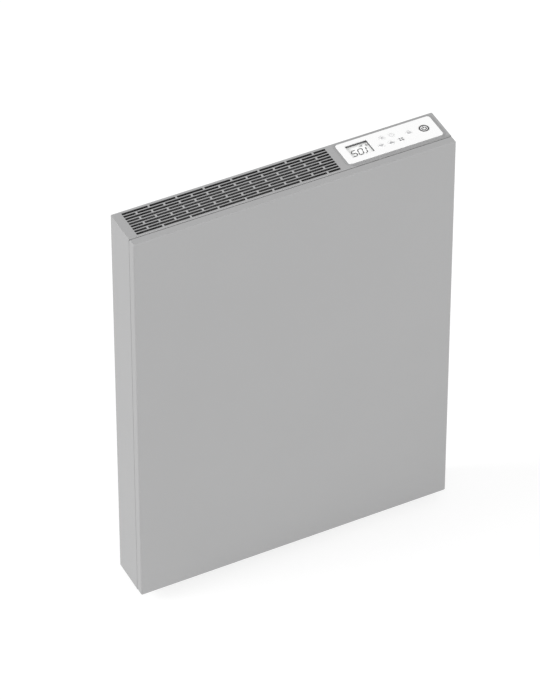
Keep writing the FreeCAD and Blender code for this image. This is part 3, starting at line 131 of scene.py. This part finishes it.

# Sheet, and where its dark coat starts, which is painted shade for the seam, the slots and the inside of the
# casing:
# below the top and above the underside, in from the edges of the top, down the walls of a slot and into the
# seam round the front panel, and its reach back in the seam
SHEET = 1.2 * MM
PAINTED_SHADE_DEPTH = 2.0 * MM
GRILLE_MARGIN = 3.0 * MM
SLOT_LIP = 0.05 * MM
SEAM_LIP = 0.52 * MM
SEAM_REACH = 2.4 * MM

# Other finishes: grains in one wave of the slow drift of colour, and the scale of the grain along x, y and z
DRIFT_GRAINS = 40
EVEN_STRETCH = (1.0, 1.0, 1.0)
FIBRE_STRETCH = (1.0, 1.0, 0.2)
ROLLING_STRETCH = (0.05, 1.0, 1.0)

# Scales of the patterned finishes, where a larger one is finer
CRYSTALS = 170.0
STRIPES = 120.0
TRACKS = 190.0
CELLS = 1600.0

# Display: its own light, a backlight that is also painted light lifting it out of the shade of its recess,
# its window of clear plastic, and the white upper edge of its frame
BACKLIGHT_AND_SHADE_LIFT = 0.20
WINDOW_ALPHA = 0.08
WINDOW_INDEX = 1.49
GASKET_EDGE = 0.05 * MM

# Thin dark strip in the bezel's colour in front of the bezel, which starts past the bezel's left corner and
# ends short of the seam
SEAM = 0.8 * MM
BEZEL_CORNER = 7.0 * MM
STRIP_INSET = 1.1 * MM
STRIP_THICK = 0.12 * MM

# Print: its thickness, how near two of its corners are to become one, and the steps of an arc
PRINT_THICK = 0.04 * MM
MERGE = 0.001 * MM
ARC_STEPS = 24

# Digits on the display, in millimetres along the middles of their strokes: the lit segments of each, the
# left end of each, and the middle of the point
DIGIT_WIDTH = 6.1
DIGIT_HEIGHT = 10.8
DIGIT_STROKE = 1.6
DIGIT_GAP = 0.2
DIGIT_SLANT = 0.17
DIGIT_BASE = -19.4
DIGIT_SEGMENTS = {"0": "abcdef", "1": "bc", "5": "acdfg"}
DIGIT_PLACES = (("5", 3.8), ("0", 12.8), ("1", 18.1))
POINT_PLACE = 22.3

# Small marks on the display, in millimetres: rising bars, from the middle of the first, and a ring
BARS = 4
BAR_FIRST = 19.1
BAR_BASE = -5.65
BAR_PITCH = 1.4
BAR_WIDTH = 0.9
BAR_LOWEST = 1.3
BAR_RISE = 0.6
MARK_PLACE = (29.2, -5.4)
MARK_RADIUS = 1.6
MARK_STROKE = 0.8

# Symbols on the keys, in millimetres about the key's middle, and the standby sign's opening in degrees
ARROW_HALF = 3.2
ARROW_RISE = 4.4
ARROW_FOOT = 1.8
TILE_WIDTH = 2.5
TILE_HEIGHT = 2.2
TILE_ACROSS = 1.75
TILE_ALONG = 1.6
SUN_RADIUS = 1.4
RAYS = 8
RAY_NEAR = 2.1
RAY_FAR = 3.2
RAY_WIDTH = 0.8
CLOCK_RADIUS = 3.2
CLOCK_STROKE = 0.65
HAND_HALF = 0.3
HAND_SHORT = 1.5
HAND_LONG = 1.7
LOCK_HALF = 2.7
LOCK_BASE = -2.8
LOCK_TOP = 1.2
SHACKLE_RADIUS = 2.3
SHACKLE_STROKE = 0.9
POWER_RADIUS = 6.7
POWER_STROKE = 2.0
STANDBY_RADIUS = 3.6
STANDBY_STROKE = 1.5
STANDBY_DROP = 0.3
STANDBY_OPENING = 70
STANDBY_BAR = 4.1
STANDBY_BAR_MIDDLE = 2.0


# Nodes of a material
def add(tree, kind, settings=None, inputs=None):
    """New node with some of its settings and inputs."""
    node = tree.nodes.new(kind)
    for name, value in (settings or {}).items():
        setattr(node, name, value)
    for name, value in (inputs or {}).items():
        node.inputs[name].default_value = value
    return node


def rgba(colour):
    """Colour with full alpha."""
    return (colour[0], colour[1], colour[2], 1.0)


def shade(colour, factor):
    """Colour made lighter or darker."""
    return tuple(min(1.0, part * factor) for part in colour)


def start(name, roughness, metallic=0.0):
    """New material, its node tree and its shader."""
    material = bpy.data.materials.new(name)
    material.use_nodes = True
    tree = material.node_tree
    shader = tree.nodes["Principled BSDF"]
    shader.inputs["Roughness"].default_value = roughness
    shader.inputs["Metallic"].default_value = metallic
    return material, tree, shader


def place_of(tree, stretch=EVEN_STRETCH):
    """Position on the object, stretched along the axes."""
    coordinates = add(tree, "ShaderNodeTexCoord")
    mapping = add(tree, "ShaderNodeMapping", inputs={"Scale": stretch})
    tree.links.new(coordinates.outputs["Object"], mapping.inputs["Vector"])
    return mapping.outputs["Vector"]


def noise(tree, place, scale, detail=3.0):
    """Noise from 0 to 1 at a number of grains to the metre."""
    texture = add(tree, "ShaderNodeTexNoise", inputs={"Scale": scale, "Detail": detail})
    tree.links.new(place, texture.inputs["Vector"])
    return texture.outputs["Fac"]


def ramp(tree, factor, low, high, ends=(0.3, 0.7)):
    """Colour between two colours by a factor."""
    node = add(tree, "ShaderNodeValToRGB")
    node.color_ramp.elements[0].position = ends[0]
    node.color_ramp.elements[1].position = ends[1]
    node.color_ramp.elements[0].color = rgba(low)
    node.color_ramp.elements[1].color = rgba(high)
    tree.links.new(factor, node.inputs["Fac"])
    return node.outputs["Color"]


def varied(tree, factor, colour, variation):
    """Colour that wanders by a share to either side."""
    return ramp(tree, factor, shade(colour, 1 - variation), shade(colour, 1 + variation))


def mix(tree, factor, first, second):
    """Mix of two colour sockets by a factor socket."""
    node = add(tree, "ShaderNodeMix", settings={"data_type": "RGBA"})
    tree.links.new(factor, node.inputs["Factor"])
    tree.links.new(first, node.inputs["A"])
    tree.links.new(second, node.inputs["B"])
    return node.outputs["Result"]


def spread_roughness(tree, shader, factor, middle, spread):
    """Roughness that wanders to either side of a middle value."""
    node = add(tree, "ShaderNodeMapRange", inputs={"To Min": middle - spread, "To Max": middle + spread})
    tree.links.new(factor, node.inputs["Value"])
    tree.links.new(node.outputs["Result"], shader.inputs["Roughness"])


def bump(tree, shader, height, depth):
    """Relief of a depth in metres."""
    node = add(tree, "ShaderNodeBump", inputs={"Strength": 1.0, "Distance": depth})
    tree.links.new(height, node.inputs["Height"])
    tree.links.new(node.outputs["Normal"], shader.inputs["Normal"])


def combined(tree, operation, first, second):
    """Two factors put together by a math operation."""
    node = add(tree, "ShaderNodeMath", settings={"operation": operation})
    tree.links.new(first, node.inputs[0])
    tree.links.new(second, node.inputs[1])
    return node.outputs["Value"]


def within(tree, place, axis, middle, half):
    """1 where a position lies within a distance of a middle along an axis."""
    split = add(tree, "ShaderNodeSeparateXYZ")
    tree.links.new(place, split.inputs["Vector"])
    node = add(tree, "ShaderNodeMath", settings={"operation": "COMPARE"})
    tree.links.new(split.outputs[axis], node.inputs[0])
    node.inputs[1].default_value = middle
    node.inputs[2].default_value = half
    return node.outputs["Value"]


def inside_box(tree, place, low, high):
    """1 where a position lies in a box."""
    middle = (low + high) / 2
    half = (high - low) / 2
    inside = within(tree, place, "X", middle.x, half.x)
    inside = combined(tree, "MULTIPLY", inside, within(tree, place, "Y", middle.y, half.y))
    return combined(tree, "MULTIPLY", inside, within(tree, place, "Z", middle.z, half.z))


# Materials
def grained(name, colour, roughness, grain, depth, variation=0.03, metallic=0.0, stretch=EVEN_STRETCH):
    """Material with a fine grain in its relief and gloss and a slow drift of colour."""
    material, tree, shader = start(name, roughness, metallic)
    place = place_of(tree, stretch)
    fine = noise(tree, place, grain)
    slow = noise(tree, place, grain / DRIFT_GRAINS)
    tree.links.new(varied(tree, slow, colour, variation), shader.inputs["Base Color"])
    spread_roughness(tree, shader, fine, roughness, spread=0.06)
    bump(tree, shader, fine, depth)
    return material


def metal(name, colour, roughness, grain, depth, variation, stretch=EVEN_STRETCH):
    """Bare or plated metal."""
    return grained(name, colour, roughness, grain, depth, variation, metallic=1.0, stretch=stretch)


def moulding(name, colour, roughness, variation=0.03, depth=0.02 * MM):
    """Moulded plastic with a fine tooled grain."""
    return grained(name, colour, roughness, grain=2600.0, depth=depth, variation=variation)


def covering(name, colour):
    """Smooth covering of a wire in one colour."""
    return grained(name, colour, roughness=0.42, grain=1500.0, depth=0.01 * MM)


def ink(name, colour, variation):
    """Printed ink."""
    return grained(name, colour, roughness=0.4, grain=3000.0, depth=0.005 * MM, variation=variation)


def painted_shade_zones():
    """Boxes of painted shade, in which the sheet shows a dark coat: inside both plates, in the slots and in
    the seam.
    """
    casing_low, casing_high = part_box("rear_casing")
    tray_low, tray_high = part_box("front_panel")
    skin = Vector((SHEET / 2, SHEET / 2, PAINTED_SHADE_DEPTH))
    low = Vector((casing_low.x, tray_low.y, casing_low.z)) + skin
    high = casing_high - skin
    under_top = (Vector((low.x, low.y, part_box("top_plate")[0].z)), high)
    over_bottom = (low, Vector((high.x, high.y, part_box("bottom_plate")[1].z)))
    slots = (
        Vector((casing_low.x + GRILLE_MARGIN, tray_high.y + GRILLE_MARGIN, casing_high.z - PAINTED_SHADE_DEPTH)),
        casing_high - Vector((GRILLE_MARGIN, GRILLE_MARGIN, SLOT_LIP)),
    )
    lip = Vector((SEAM_LIP, 0, SEAM_LIP))
    seam = (
        Vector((casing_low.x, tray_high.y, casing_low.z)) + lip,
        Vector((casing_high.x, tray_high.y + SEAM_REACH, casing_high.z)) - lip,
    )
    return [under_top, over_bottom, slots, seam]


def powder_coat():
    """Light grey textured powder coat, with a dark coat as painted shade in the seam, the slots and inside
    the casing.
    """
    material, tree, shader = start("powder_coat", COAT_ROUGHNESS)
    place = place_of(tree)
    fine = noise(tree, place, COAT_GRAIN, detail=4.0)
    tint = varied(tree, noise(tree, place, COAT_DRIFT), PAINT, variation=0.012)
    speckle = varied(tree, noise(tree, place, COAT_SPECKLE, detail=2.0), PAINT, variation=0.07)
    coat = add(tree, "ShaderNodeMix", settings={"data_type": "RGBA"}, inputs={"Factor": SPECKLE_SHARE})
    tree.links.new(tint, coat.inputs["A"])
    tree.links.new(speckle, coat.inputs["B"])
    # Dark coat in these zones is painted shade
    shade_coat = varied(tree, fine, PAINTED_SHADE, variation=0.15)
    first, *others = painted_shade_zones()
    inside = inside_box(tree, place, *first)
    for zone in others:
        inside = combined(tree, "MAXIMUM", inside, inside_box(tree, place, *zone))
    tree.links.new(mix(tree, inside, coat.outputs["Result"], shade_coat), shader.inputs["Base Color"])
    spread_roughness(tree, shader, fine, COAT_ROUGHNESS, spread=0.08)
    bump(tree, shader, fine, COAT_RELIEF)
    return material


def galvanised():
    """Zinc-coated sheet with its crystals."""
    roughness = 0.43
    material, tree, shader = start("galvanised", roughness, metallic=1.0)
    place = place_of(tree)
    crystals = add(tree, "ShaderNodeTexVoronoi", inputs={"Scale": CRYSTALS})
    tree.links.new(place, crystals.inputs["Vector"])
    facet = add(tree, "ShaderNodeSeparateColor")
    tree.links.new(crystals.outputs["Color"], facet.inputs["Color"])
    dull = shade(GALVANISED, 0.86)
    bright = shade(GALVANISED, 1.10)
    tint = ramp(tree, facet.outputs["Red"], dull, bright, ends=(0.0, 1.0))
    tree.links.new(tint, shader.inputs["Base Color"])
    spread_roughness(tree, shader, facet.outputs["Green"], roughness, spread=0.09)
    bump(tree, shader, noise(tree, place, scale=900.0), depth=0.01 * MM)
    return material


def earth_covering():
    """Green wire covering with a yellow stripe."""
    material, tree, shader = start("earth_covering", roughness=0.45)
    place = place_of(tree)
    direction = {"bands_direction": "DIAGONAL"}
    wave = add(tree, "ShaderNodeTexWave", settings=direction, inputs={"Scale": STRIPES})
    tree.links.new(place, wave.inputs["Vector"])
    tint = ramp(tree, wave.outputs["Fac"], WIRE_GREEN, WIRE_YELLOW, ends=(0.48, 0.52))
    tree.links.new(tint, shader.inputs["Base Color"])
    bump(tree, shader, noise(tree, place, scale=1500.0), depth=0.01 * MM)
    return material


def laminate():
    """Green board with the faint pattern of its tracks."""
    material, tree, shader = start("laminate", roughness=0.4)
    place = place_of(tree)
    tracks = add(tree, "ShaderNodeTexBrick", inputs={
        "Scale": TRACKS, "Mortar Size": 0.03, "Color1": rgba(BOARD), "Color2": rgba(BOARD_DARK),
        "Mortar": rgba(BOARD_TRACK),
    })
    tree.links.new(place, tracks.inputs["Vector"])
    tree.links.new(tracks.outputs["Color"], shader.inputs["Base Color"])
    bump(tree, shader, tracks.outputs["Fac"], depth=0.02 * MM)
    return material


def gasket():
    """Matt dark frame, whose dark walls are painted shade of the display's recess, and whose upper edge is
    white like the fascia.
    """
    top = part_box("lcd_gasket")[1].z
    material, tree, shader = start("gasket", roughness=0.6)
    place = place_of(tree)
    fine = noise(tree, place, scale=2500.0)
    # Painted shade on the walls of the recess
    dark = varied(tree, fine, GASKET_SHADE, variation=0.2)
    pale = ramp(tree, fine, shade(WHITE, 0.98), WHITE)
    edge = within(tree, place, "Z", top, GASKET_EDGE)
    tree.links.new(mix(tree, edge, dark, pale), shader.inputs["Base Color"])
    bump(tree, shader, fine, depth=0.01 * MM)
    return material


def clear_window():
    """Clear sheet that keeps its reflections."""
    material, tree, shader = start("clear_window", roughness=0.06)
    haze = ramp(tree, noise(tree, place_of(tree), scale=60.0), WINDOW_DULL, WINDOW_CLEAR)
    tree.links.new(haze, shader.inputs["Base Color"])
    shader.inputs["Alpha"].default_value = WINDOW_ALPHA
    shader.inputs["IOR"].default_value = WINDOW_INDEX
    return material


def display_face():
    """Pale display with its fine cell grid and a weak light of its own: a backlight that is also painted
    light, lifting it out of the shade of its recess.
    """
    material, tree, shader = start("display_face", roughness=0.35)
    cells = add(tree, "ShaderNodeTexBrick", inputs={
        "Scale": CELLS, "Mortar Size": 0.02, "Color1": rgba(DISPLAY), "Color2": rgba(shade(DISPLAY, 0.985)),
        "Mortar": rgba(shade(DISPLAY, 0.95)),
    })
    tree.links.new(place_of(tree), cells.inputs["Vector"])
    tree.links.new(cells.outputs["Color"], shader.inputs["Base Color"])
    # Glow of the backlight, also painted light that lifts the display out of its recess's shade
    shader.inputs["Emission Color"].default_value = rgba(BACKLIGHT_AND_LIFT_TINT)
    shader.inputs["Emission Strength"].default_value = BACKLIGHT_AND_SHADE_LIFT
    return material


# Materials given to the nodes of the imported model
def paint(material, *names):
    """Gives some nodes a material."""
    for name in names:
        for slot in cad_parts[name].material_slots:
            slot.material = material


def paint_casing():
    """Casing, plated sheet and screws, and the rubber buttons on the wall rail."""
    paint(powder_coat(), "rear_casing", "top_plate", "bottom_plate", "front_panel")
    paint(
        galvanised(), "upper_bracket", "lower_bracket", "panel_catches", "core_lower_brackets",
        "core_upper_brackets", "control_shield",
    )
    zinc = metal("zinc_plate", ZINC, roughness=0.34, grain=3000.0, depth=0.01 * MM, variation=0.06)
    paint(
        zinc, "panel_screws", "plate_screws", "shield_screws", "bracket_screws", "housing_screws",
        "board_screws", "terminal_screws", "earth_stud",
    )
    rubber = grained("bumper_rubber", RUBBER, roughness=0.7, grain=2200.0, depth=0.03 * MM, variation=0.15)
    paint(rubber, "bracket_bumpers")


def paint_heat_pack():
    """Storage slabs, the element between them, and the board and sheet behind them."""
    fibre = grained(
        "mineral_fibre", MINERAL, roughness=0.9, grain=600.0, depth=0.4 * MM, variation=0.12,
        stretch=FIBRE_STRETCH,
    )
    paint(fibre, "insulation_board")
    bright = metal(
        "bright_sheet", BRIGHT_STEEL, roughness=0.25, grain=1200.0, depth=0.01 * MM, variation=0.04,
        stretch=ROLLING_STRETCH,
    )
    paint(bright, "heat_shield")
    slab = grained(
        "storage_ceramic", STORAGE_CERAMIC, roughness=0.85, grain=700.0, depth=0.15 * MM, variation=0.12,
    )
    paint(slab, "core_rear", "core_front")
    sheath = metal(
        "element_sheath", DARK_STEEL, roughness=0.45, grain=1500.0, depth=0.02 * MM, variation=0.15,
    )
    paint(sheath, "heating_element")
    bush = grained("bush_ceramic", BUSH_CERAMIC, roughness=0.6, grain=1800.0, depth=0.02 * MM)
    paint(bush, "element_bushes")
    brass = metal("terminal_brass", BRASS, roughness=0.3, grain=2400.0, depth=0.01 * MM, variation=0.08)
    paint(brass, "element_terminals")


def paint_control_panel():
    """Bezel, fascia, keys and display."""
    paint(moulding("bezel_moulding", BEZEL, roughness=0.45, depth=0.015 * MM), "control_bezel")
    white = grained("white_moulding", WHITE, roughness=0.28, grain=900.0, depth=0.004 * MM, variation=0.008)
    paint(
        white, "control_fascia", "key_down", "key_up", "key_menu", "key_mode", "key_timer", "key_lock",
        "power_key",
    )
    paint(gasket(), "lcd_gasket")
    paint(clear_window(), "lcd_window")
    paint(display_face(), "lcd_module")


def paint_electrics():
    """Boards and what stands on them, mouldings inside the casing, and the cable gland."""
    paint(laminate(), "display_board", "power_board")
    black = moulding("black_moulding", BLACK, roughness=0.5, variation=0.1)
    paint(black, "thermal_cutout", "tactile_switches", "relay", "room_sensor")
    paint(moulding("ivory_moulding", IVORY, roughness=0.5), "terminal_block", "sensor_clip")
    paint(moulding("gland_moulding", GLAND, roughness=0.45, variation=0.08), "cable_gland", "gland_nut")
    paint(moulding("housing_moulding", HOUSING, roughness=0.55, variation=0.06), "control_housing")
    potting = grained("potting", POTTING, roughness=0.35, grain=400.0, depth=0.05 * MM, variation=0.1)
    paint(potting, "transformer")
    sleeve = grained("sleeved_can", SLEEVE, roughness=0.3, grain=1800.0, depth=0.01 * MM, variation=0.05)
    paint(sleeve, "capacitor")


def paint_wires():
    """Coverings of the wires."""
    paint(earth_covering(), "earth_wire")
    brown = covering("brown_covering", WIRE_BROWN)
    paint(brown, "live_wire", "element_lead_lower", "element_lead_upper", "cutout_lead")
    paint(covering("blue_covering", WIRE_BLUE), "neutral_wire")
    paint(covering("pale_covering", WIRE_PALE), "sensor_wire")


# Dark strip in front of the bezel, and print on the display and the keys
def plates(name, outlines, origin, material, body, thick=PRINT_THICK):
    """Thin flat shapes on a level surface: each outline lists x and y in millimetres about the origin."""
    form = bmesh.new()
    for outline in outlines:
        points = [(origin.x + x * MM, origin.y + y * MM, origin.z) for x, y in outline]
        form.faces.new([form.verts.new(point) for point in points])
    bmesh.ops.remove_doubles(form, verts=form.verts, dist=MERGE)
    grown = bmesh.ops.extrude_face_region(form, geom=form.faces[:])["geom"]
    raised = [item for item in grown if isinstance(item, bmesh.types.BMVert)]
    bmesh.ops.translate(form, verts=raised, vec=(0, 0, thick))
    bmesh.ops.recalc_face_normals(form, faces=form.faces)
    mesh = bpy.data.meshes.new(name)
    form.to_mesh(mesh)
    form.free()
    mesh.materials.append(material)
    piece = bpy.data.objects.new(name, mesh)
    bpy.context.scene.collection.objects.link(piece)
    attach(piece, body)


def front_dark_strip():
    """Thin dark strip in the bezel's colour in front of the bezel, from its front edge towards the seam,
    with a slanted left end.
    """
    bezel_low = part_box("control_bezel")[0]
    plate_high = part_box("top_plate")[1]
    origin = Vector((bezel_low.x + BEZEL_CORNER, bezel_low.y, plate_high.z))
    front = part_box("front_panel")[1].y + SEAM + STRIP_INSET
    depth = (origin.y - front) / MM
    length = (plate_high.x - STRIP_INSET - origin.x) / MM
    outline = [(0, 0), (depth, -depth), (length, -depth), (length, 0)]
    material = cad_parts["control_bezel"].material_slots[0].material
    plates("dark_strip_before_bezel", [outline], origin, material, "heater", STRIP_THICK)


def bar(x, y, width, height):
    """Rectangle about a centre."""
    left, right = x - width / 2, x + width / 2
    bottom, top = y - height / 2, y + height / 2
    return [(left, bottom), (right, bottom), (right, top), (left, top)]


def arc(x, y, radius, stroke, first, last):
    """Band along an arc, from one angle to another in degrees."""
    angles = [math.radians(first + (last - first) * step / ARC_STEPS) for step in range(ARC_STEPS + 1)]
    outer = [(x + radius * math.cos(a), y + radius * math.sin(a)) for a in angles]
    inner = [(x + (radius - stroke) * math.cos(a), y + (radius - stroke) * math.sin(a)) for a in angles]
    return outer + inner[::-1]


def ring(x, y, radius, stroke):
    """Full ring as two bands."""
    return [arc(x, y, radius, stroke, 0, 180), arc(x, y, radius, stroke, 180, 360)]


def disc(radius):
    """Round dot about the middle."""
    angles = [2 * math.pi * step / ARC_STEPS for step in range(ARC_STEPS)]
    return [(radius * math.cos(a), radius * math.sin(a)) for a in angles]


def ray(angle):
    """Short stroke away from the middle, at an angle in degrees."""
    a = math.radians(angle)
    along = Vector((math.cos(a), math.sin(a)))
    near, far = along * RAY_NEAR, along * RAY_FAR
    across = Vector((-along.y, along.x)) * (RAY_WIDTH / 2)
    return [(corner.x, corner.y) for corner in (near - across, far - across, far + across, near + across)]


def segment(letter):
    """Outline of one of a digit's seven segments."""
    half = DIGIT_STROKE / 2
    middle = DIGIT_HEIGHT / 2
    rows = {"a": DIGIT_HEIGHT, "g": middle, "d": 0.0}
    if letter in rows:
        y = rows[letter]
        left, right = half + DIGIT_GAP, DIGIT_WIDTH - half - DIGIT_GAP
        return [
            (left - half, y), (left, y - half), (right, y - half), (right + half, y), (right, y + half),
            (left, y + half),
        ]
    x = DIGIT_WIDTH if letter in "bc" else 0.0
    low = middle if letter in "bf" else 0.0
    bottom, top = low + half + DIGIT_GAP, low + middle - half - DIGIT_GAP
    return [
        (x, bottom - half), (x + half, bottom), (x + half, top), (x, top + half), (x - half, top),
        (x - half, bottom),
    ]


def digit(character, x, y):
    """Slanted seven-segment digit whose lower left corner is at a place."""
    outlines = []
    for letter in DIGIT_SEGMENTS[character]:
        outlines.append([(x + px + DIGIT_SLANT * py, y + py) for px, py in segment(letter)])
    return outlines


def rising_bars():
    """Small bars on one base line, each higher than the last."""
    outlines = []
    for step in range(BARS):
        height = BAR_LOWEST + BAR_RISE * step
        outlines.append(bar(BAR_FIRST + BAR_PITCH * step, BAR_BASE + height / 2, BAR_WIDTH, height))
    return outlines


def display_print():
    """Digits and small marks on the display, counted from the back left corner of its frame."""
    low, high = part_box("lcd_gasket")
    origin = Vector((low.x, high.y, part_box("lcd_module")[1].z))
    outlines = []
    for character, x in DIGIT_PLACES:
        outlines += digit(character, x, DIGIT_BASE)
    outlines.append(bar(POINT_PLACE, DIGIT_BASE, DIGIT_STROKE, DIGIT_STROKE))
    outlines += rising_bars()
    outlines += ring(*MARK_PLACE, MARK_RADIUS, MARK_STROKE)
    plates("display_print", outlines, origin, ink("display_ink", INK_DARK, variation=0.1), "heater")


def arrow(way):
    """Filled arrow head on a low foot, which points away from the front for 1, or towards it for -1."""
    low = -way * ARROW_RISE / 2
    foot = low + way * ARROW_FOOT
    return [[(-ARROW_HALF, low), (ARROW_HALF, low), (ARROW_HALF, foot), (0, -low), (-ARROW_HALF, foot)]]


def menu():
    """Four tiles."""
    outlines = []
    for x in (-TILE_ACROSS, TILE_ACROSS):
        for y in (-TILE_ALONG, TILE_ALONG):
            outlines.append(bar(x, y, TILE_WIDTH, TILE_HEIGHT))
    return outlines


def sun():
    """Disc with rays all round."""
    return [disc(SUN_RADIUS)] + [ray(360 * step / RAYS) for step in range(RAYS)]


def clock():
    """Ring with two hands, which are one outline."""
    hands = [
        (-HAND_HALF, -HAND_HALF), (HAND_SHORT, -HAND_HALF), (HAND_SHORT, HAND_HALF),
        (HAND_HALF, HAND_HALF), (HAND_HALF, HAND_LONG), (-HAND_HALF, HAND_LONG),
    ]
    return ring(0, 0, CLOCK_RADIUS, CLOCK_STROKE) + [hands]


def lock():
    """Padlock, whose body has corners where the shackle stands on it."""
    inner = SHACKLE_RADIUS - SHACKLE_STROKE
    stops = (LOCK_HALF, SHACKLE_RADIUS, inner, -inner, -SHACKLE_RADIUS, -LOCK_HALF)
    body = [(-LOCK_HALF, LOCK_BASE), (LOCK_HALF, LOCK_BASE)] + [(x, LOCK_TOP) for x in stops]
    return [body, arc(0, LOCK_TOP, SHACKLE_RADIUS, SHACKLE_STROKE, 0, 180)]


def standby():
    """Bold ring round an open arc and a bar in its opening."""
    first = 90 + STANDBY_OPENING / 2
    last = first + 360 - STANDBY_OPENING
    sign = arc(0, -STANDBY_DROP, STANDBY_RADIUS, STANDBY_STROKE, first, last)
    upright = bar(0, STANDBY_BAR_MIDDLE, STANDBY_STROKE, STANDBY_BAR)
    return ring(0, 0, POWER_RADIUS, POWER_STROKE) + [sign, upright]


def key_print():
    """Symbols on the keys, each riding on its own key."""
    dark = ink("power_ink", INK_POWER, variation=0.08)
    grey = ink("key_ink", INK_GREY, variation=0.06)
    pale = ink("key_ink_pale", INK_PALE, variation=0.06)
    faint = ink("key_ink_faint", INK_FAINT, variation=0.06)
    symbols = [
        ("key_down", arrow(-1), faint), ("key_up", arrow(1), pale), ("key_menu", menu(), grey),
        ("key_mode", sun(), pale), ("key_timer", clock(), faint), ("key_lock", lock(), faint),
        ("power_key", standby(), dark),
    ]
    for name, outlines, material in symbols:
        low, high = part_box(name)
        origin = Vector(((low.x + high.x) / 2, (low.y + high.y) / 2, high.z))
        plates(name + "_print", outlines, origin, material, name)


# Stage
def seen_directly(tree):
    """1 for rays of the camera and for those that metal and glass send on."""
    path = add(tree, "ShaderNodeLightPath")
    total = path.outputs["Is Camera Ray"]
    for name in ("Is Glossy Ray", "Is Transmission Ray"):
        total = combined(tree, "MAXIMUM", total, path.outputs[name])
    return total


def mixed_shader(tree, factor, first, second):
    """Mix of two shaders by a factor."""
    node = add(tree, "ShaderNodeMixShader")
    tree.links.new(factor, node.inputs["Fac"])
    tree.links.new(first, node.inputs[1])
    tree.links.new(second, node.inputs[2])
    return node.outputs["Shader"]


def floor_material():
    """White floor that keeps a shadow, and that is clear from below."""
    material = bpy.data.materials.new("floor")
    material.use_nodes = True
    tree = material.node_tree
    tree.nodes.clear()
    output = add(tree, "ShaderNodeOutputMaterial")
    plain = add(tree, "ShaderNodeBsdfDiffuse", inputs={"Color": rgba((FLOOR_COLOUR,) * 3)})
    shaded = add(tree, "ShaderNodeBsdfDiffuse", inputs={"Color": rgba((FLOOR_SHADE,) * 3)})
    glow = add(tree, "ShaderNodeEmission", inputs={"Strength": FLOOR_GLOW})
    bright = add(tree, "ShaderNodeAddShader")
    tree.links.new(shaded.outputs["BSDF"], bright.inputs[0])
    tree.links.new(glow.outputs["Emission"], bright.inputs[1])
    surface = mixed_shader(tree, seen_directly(tree), plain.outputs["BSDF"], bright.outputs["Shader"])
    clear = add(tree, "ShaderNodeBsdfTransparent")
    side = add(tree, "ShaderNodeNewGeometry").outputs["Backfacing"]
    tree.links.new(mixed_shader(tree, side, surface, clear.outputs["BSDF"]), output.inputs["Surface"])
    return material


def floor():
    """Large level floor just under the radiator."""
    mesh = bpy.data.meshes.new("floor")
    half = FLOOR_SIDE / 2
    z = cad_low.z - FLOOR_GAP
    corners = [(-half, -half, z), (half, -half, z), (half, half, z), (-half, half, z)]
    mesh.from_pydata(corners, [], [(0, 1, 2, 3)])
    mesh.materials.append(floor_material())
    piece = bpy.data.objects.new("floor", mesh)
    bpy.context.scene.collection.objects.link(piece)


def lamp(name, azimuth, elevation, level):
    """Soft far lamp: its level is what it gives a surface that faces it."""
    light = bpy.data.lights.new(name, "SUN")
    light.energy = math.pi * level
    light.angle = math.radians(LAMP_SPREAD)
    holder = bpy.data.objects.new(name, light)
    holder.rotation_euler = (math.radians(90 - elevation), 0, math.radians(azimuth))
    bpy.context.scene.collection.objects.link(holder)


def sky():
    """Even white light all round, which is plain white where it is seen."""
    world = bpy.data.worlds.new("sky")
    world.use_nodes = True
    tree = world.node_tree
    tree.nodes.clear()
    output = add(tree, "ShaderNodeOutputWorld")
    white = rgba((1.0, 1.0, 1.0))
    even = add(tree, "ShaderNodeBackground", inputs={"Color": white, "Strength": SKY_LEVEL})
    seen = add(tree, "ShaderNodeBackground", inputs={"Color": white, "Strength": 1.0})
    surface = mixed_shader(tree, seen_directly(tree), even.outputs["Background"], seen.outputs["Background"])
    tree.links.new(surface, output.inputs["Surface"])
    bpy.context.scene.world = world


def camera():
    """Camera at the photograph's place and angle."""
    data = bpy.data.cameras.new("camera")
    data.sensor_fit = "VERTICAL"
    data.sensor_height = SENSOR_HEIGHT
    data.lens = CAMERA_LENS
    holder = bpy.data.objects.new("camera", data)
    holder.location = CAMERA_PLACE
    holder.rotation_euler = (math.radians(90 - CAMERA_ELEVATION), 0, math.radians(CAMERA_AZIMUTH))
    bpy.context.scene.collection.objects.link(holder)
    bpy.context.scene.camera = holder


camera()
paint_casing()
paint_heat_pack()
paint_control_panel()
paint_electrics()
paint_wires()
front_dark_strip()
display_print()
key_print()
floor()
sky()
lamp("side_lamp", SIDE_AZIMUTH, SIDE_ELEVATION, SIDE_LEVEL)
lamp("front_lamp", FRONT_AZIMUTH, FRONT_ELEVATION, FRONT_LEVEL)
bpy.context.scene.view_settings.view_transform = "Standard"
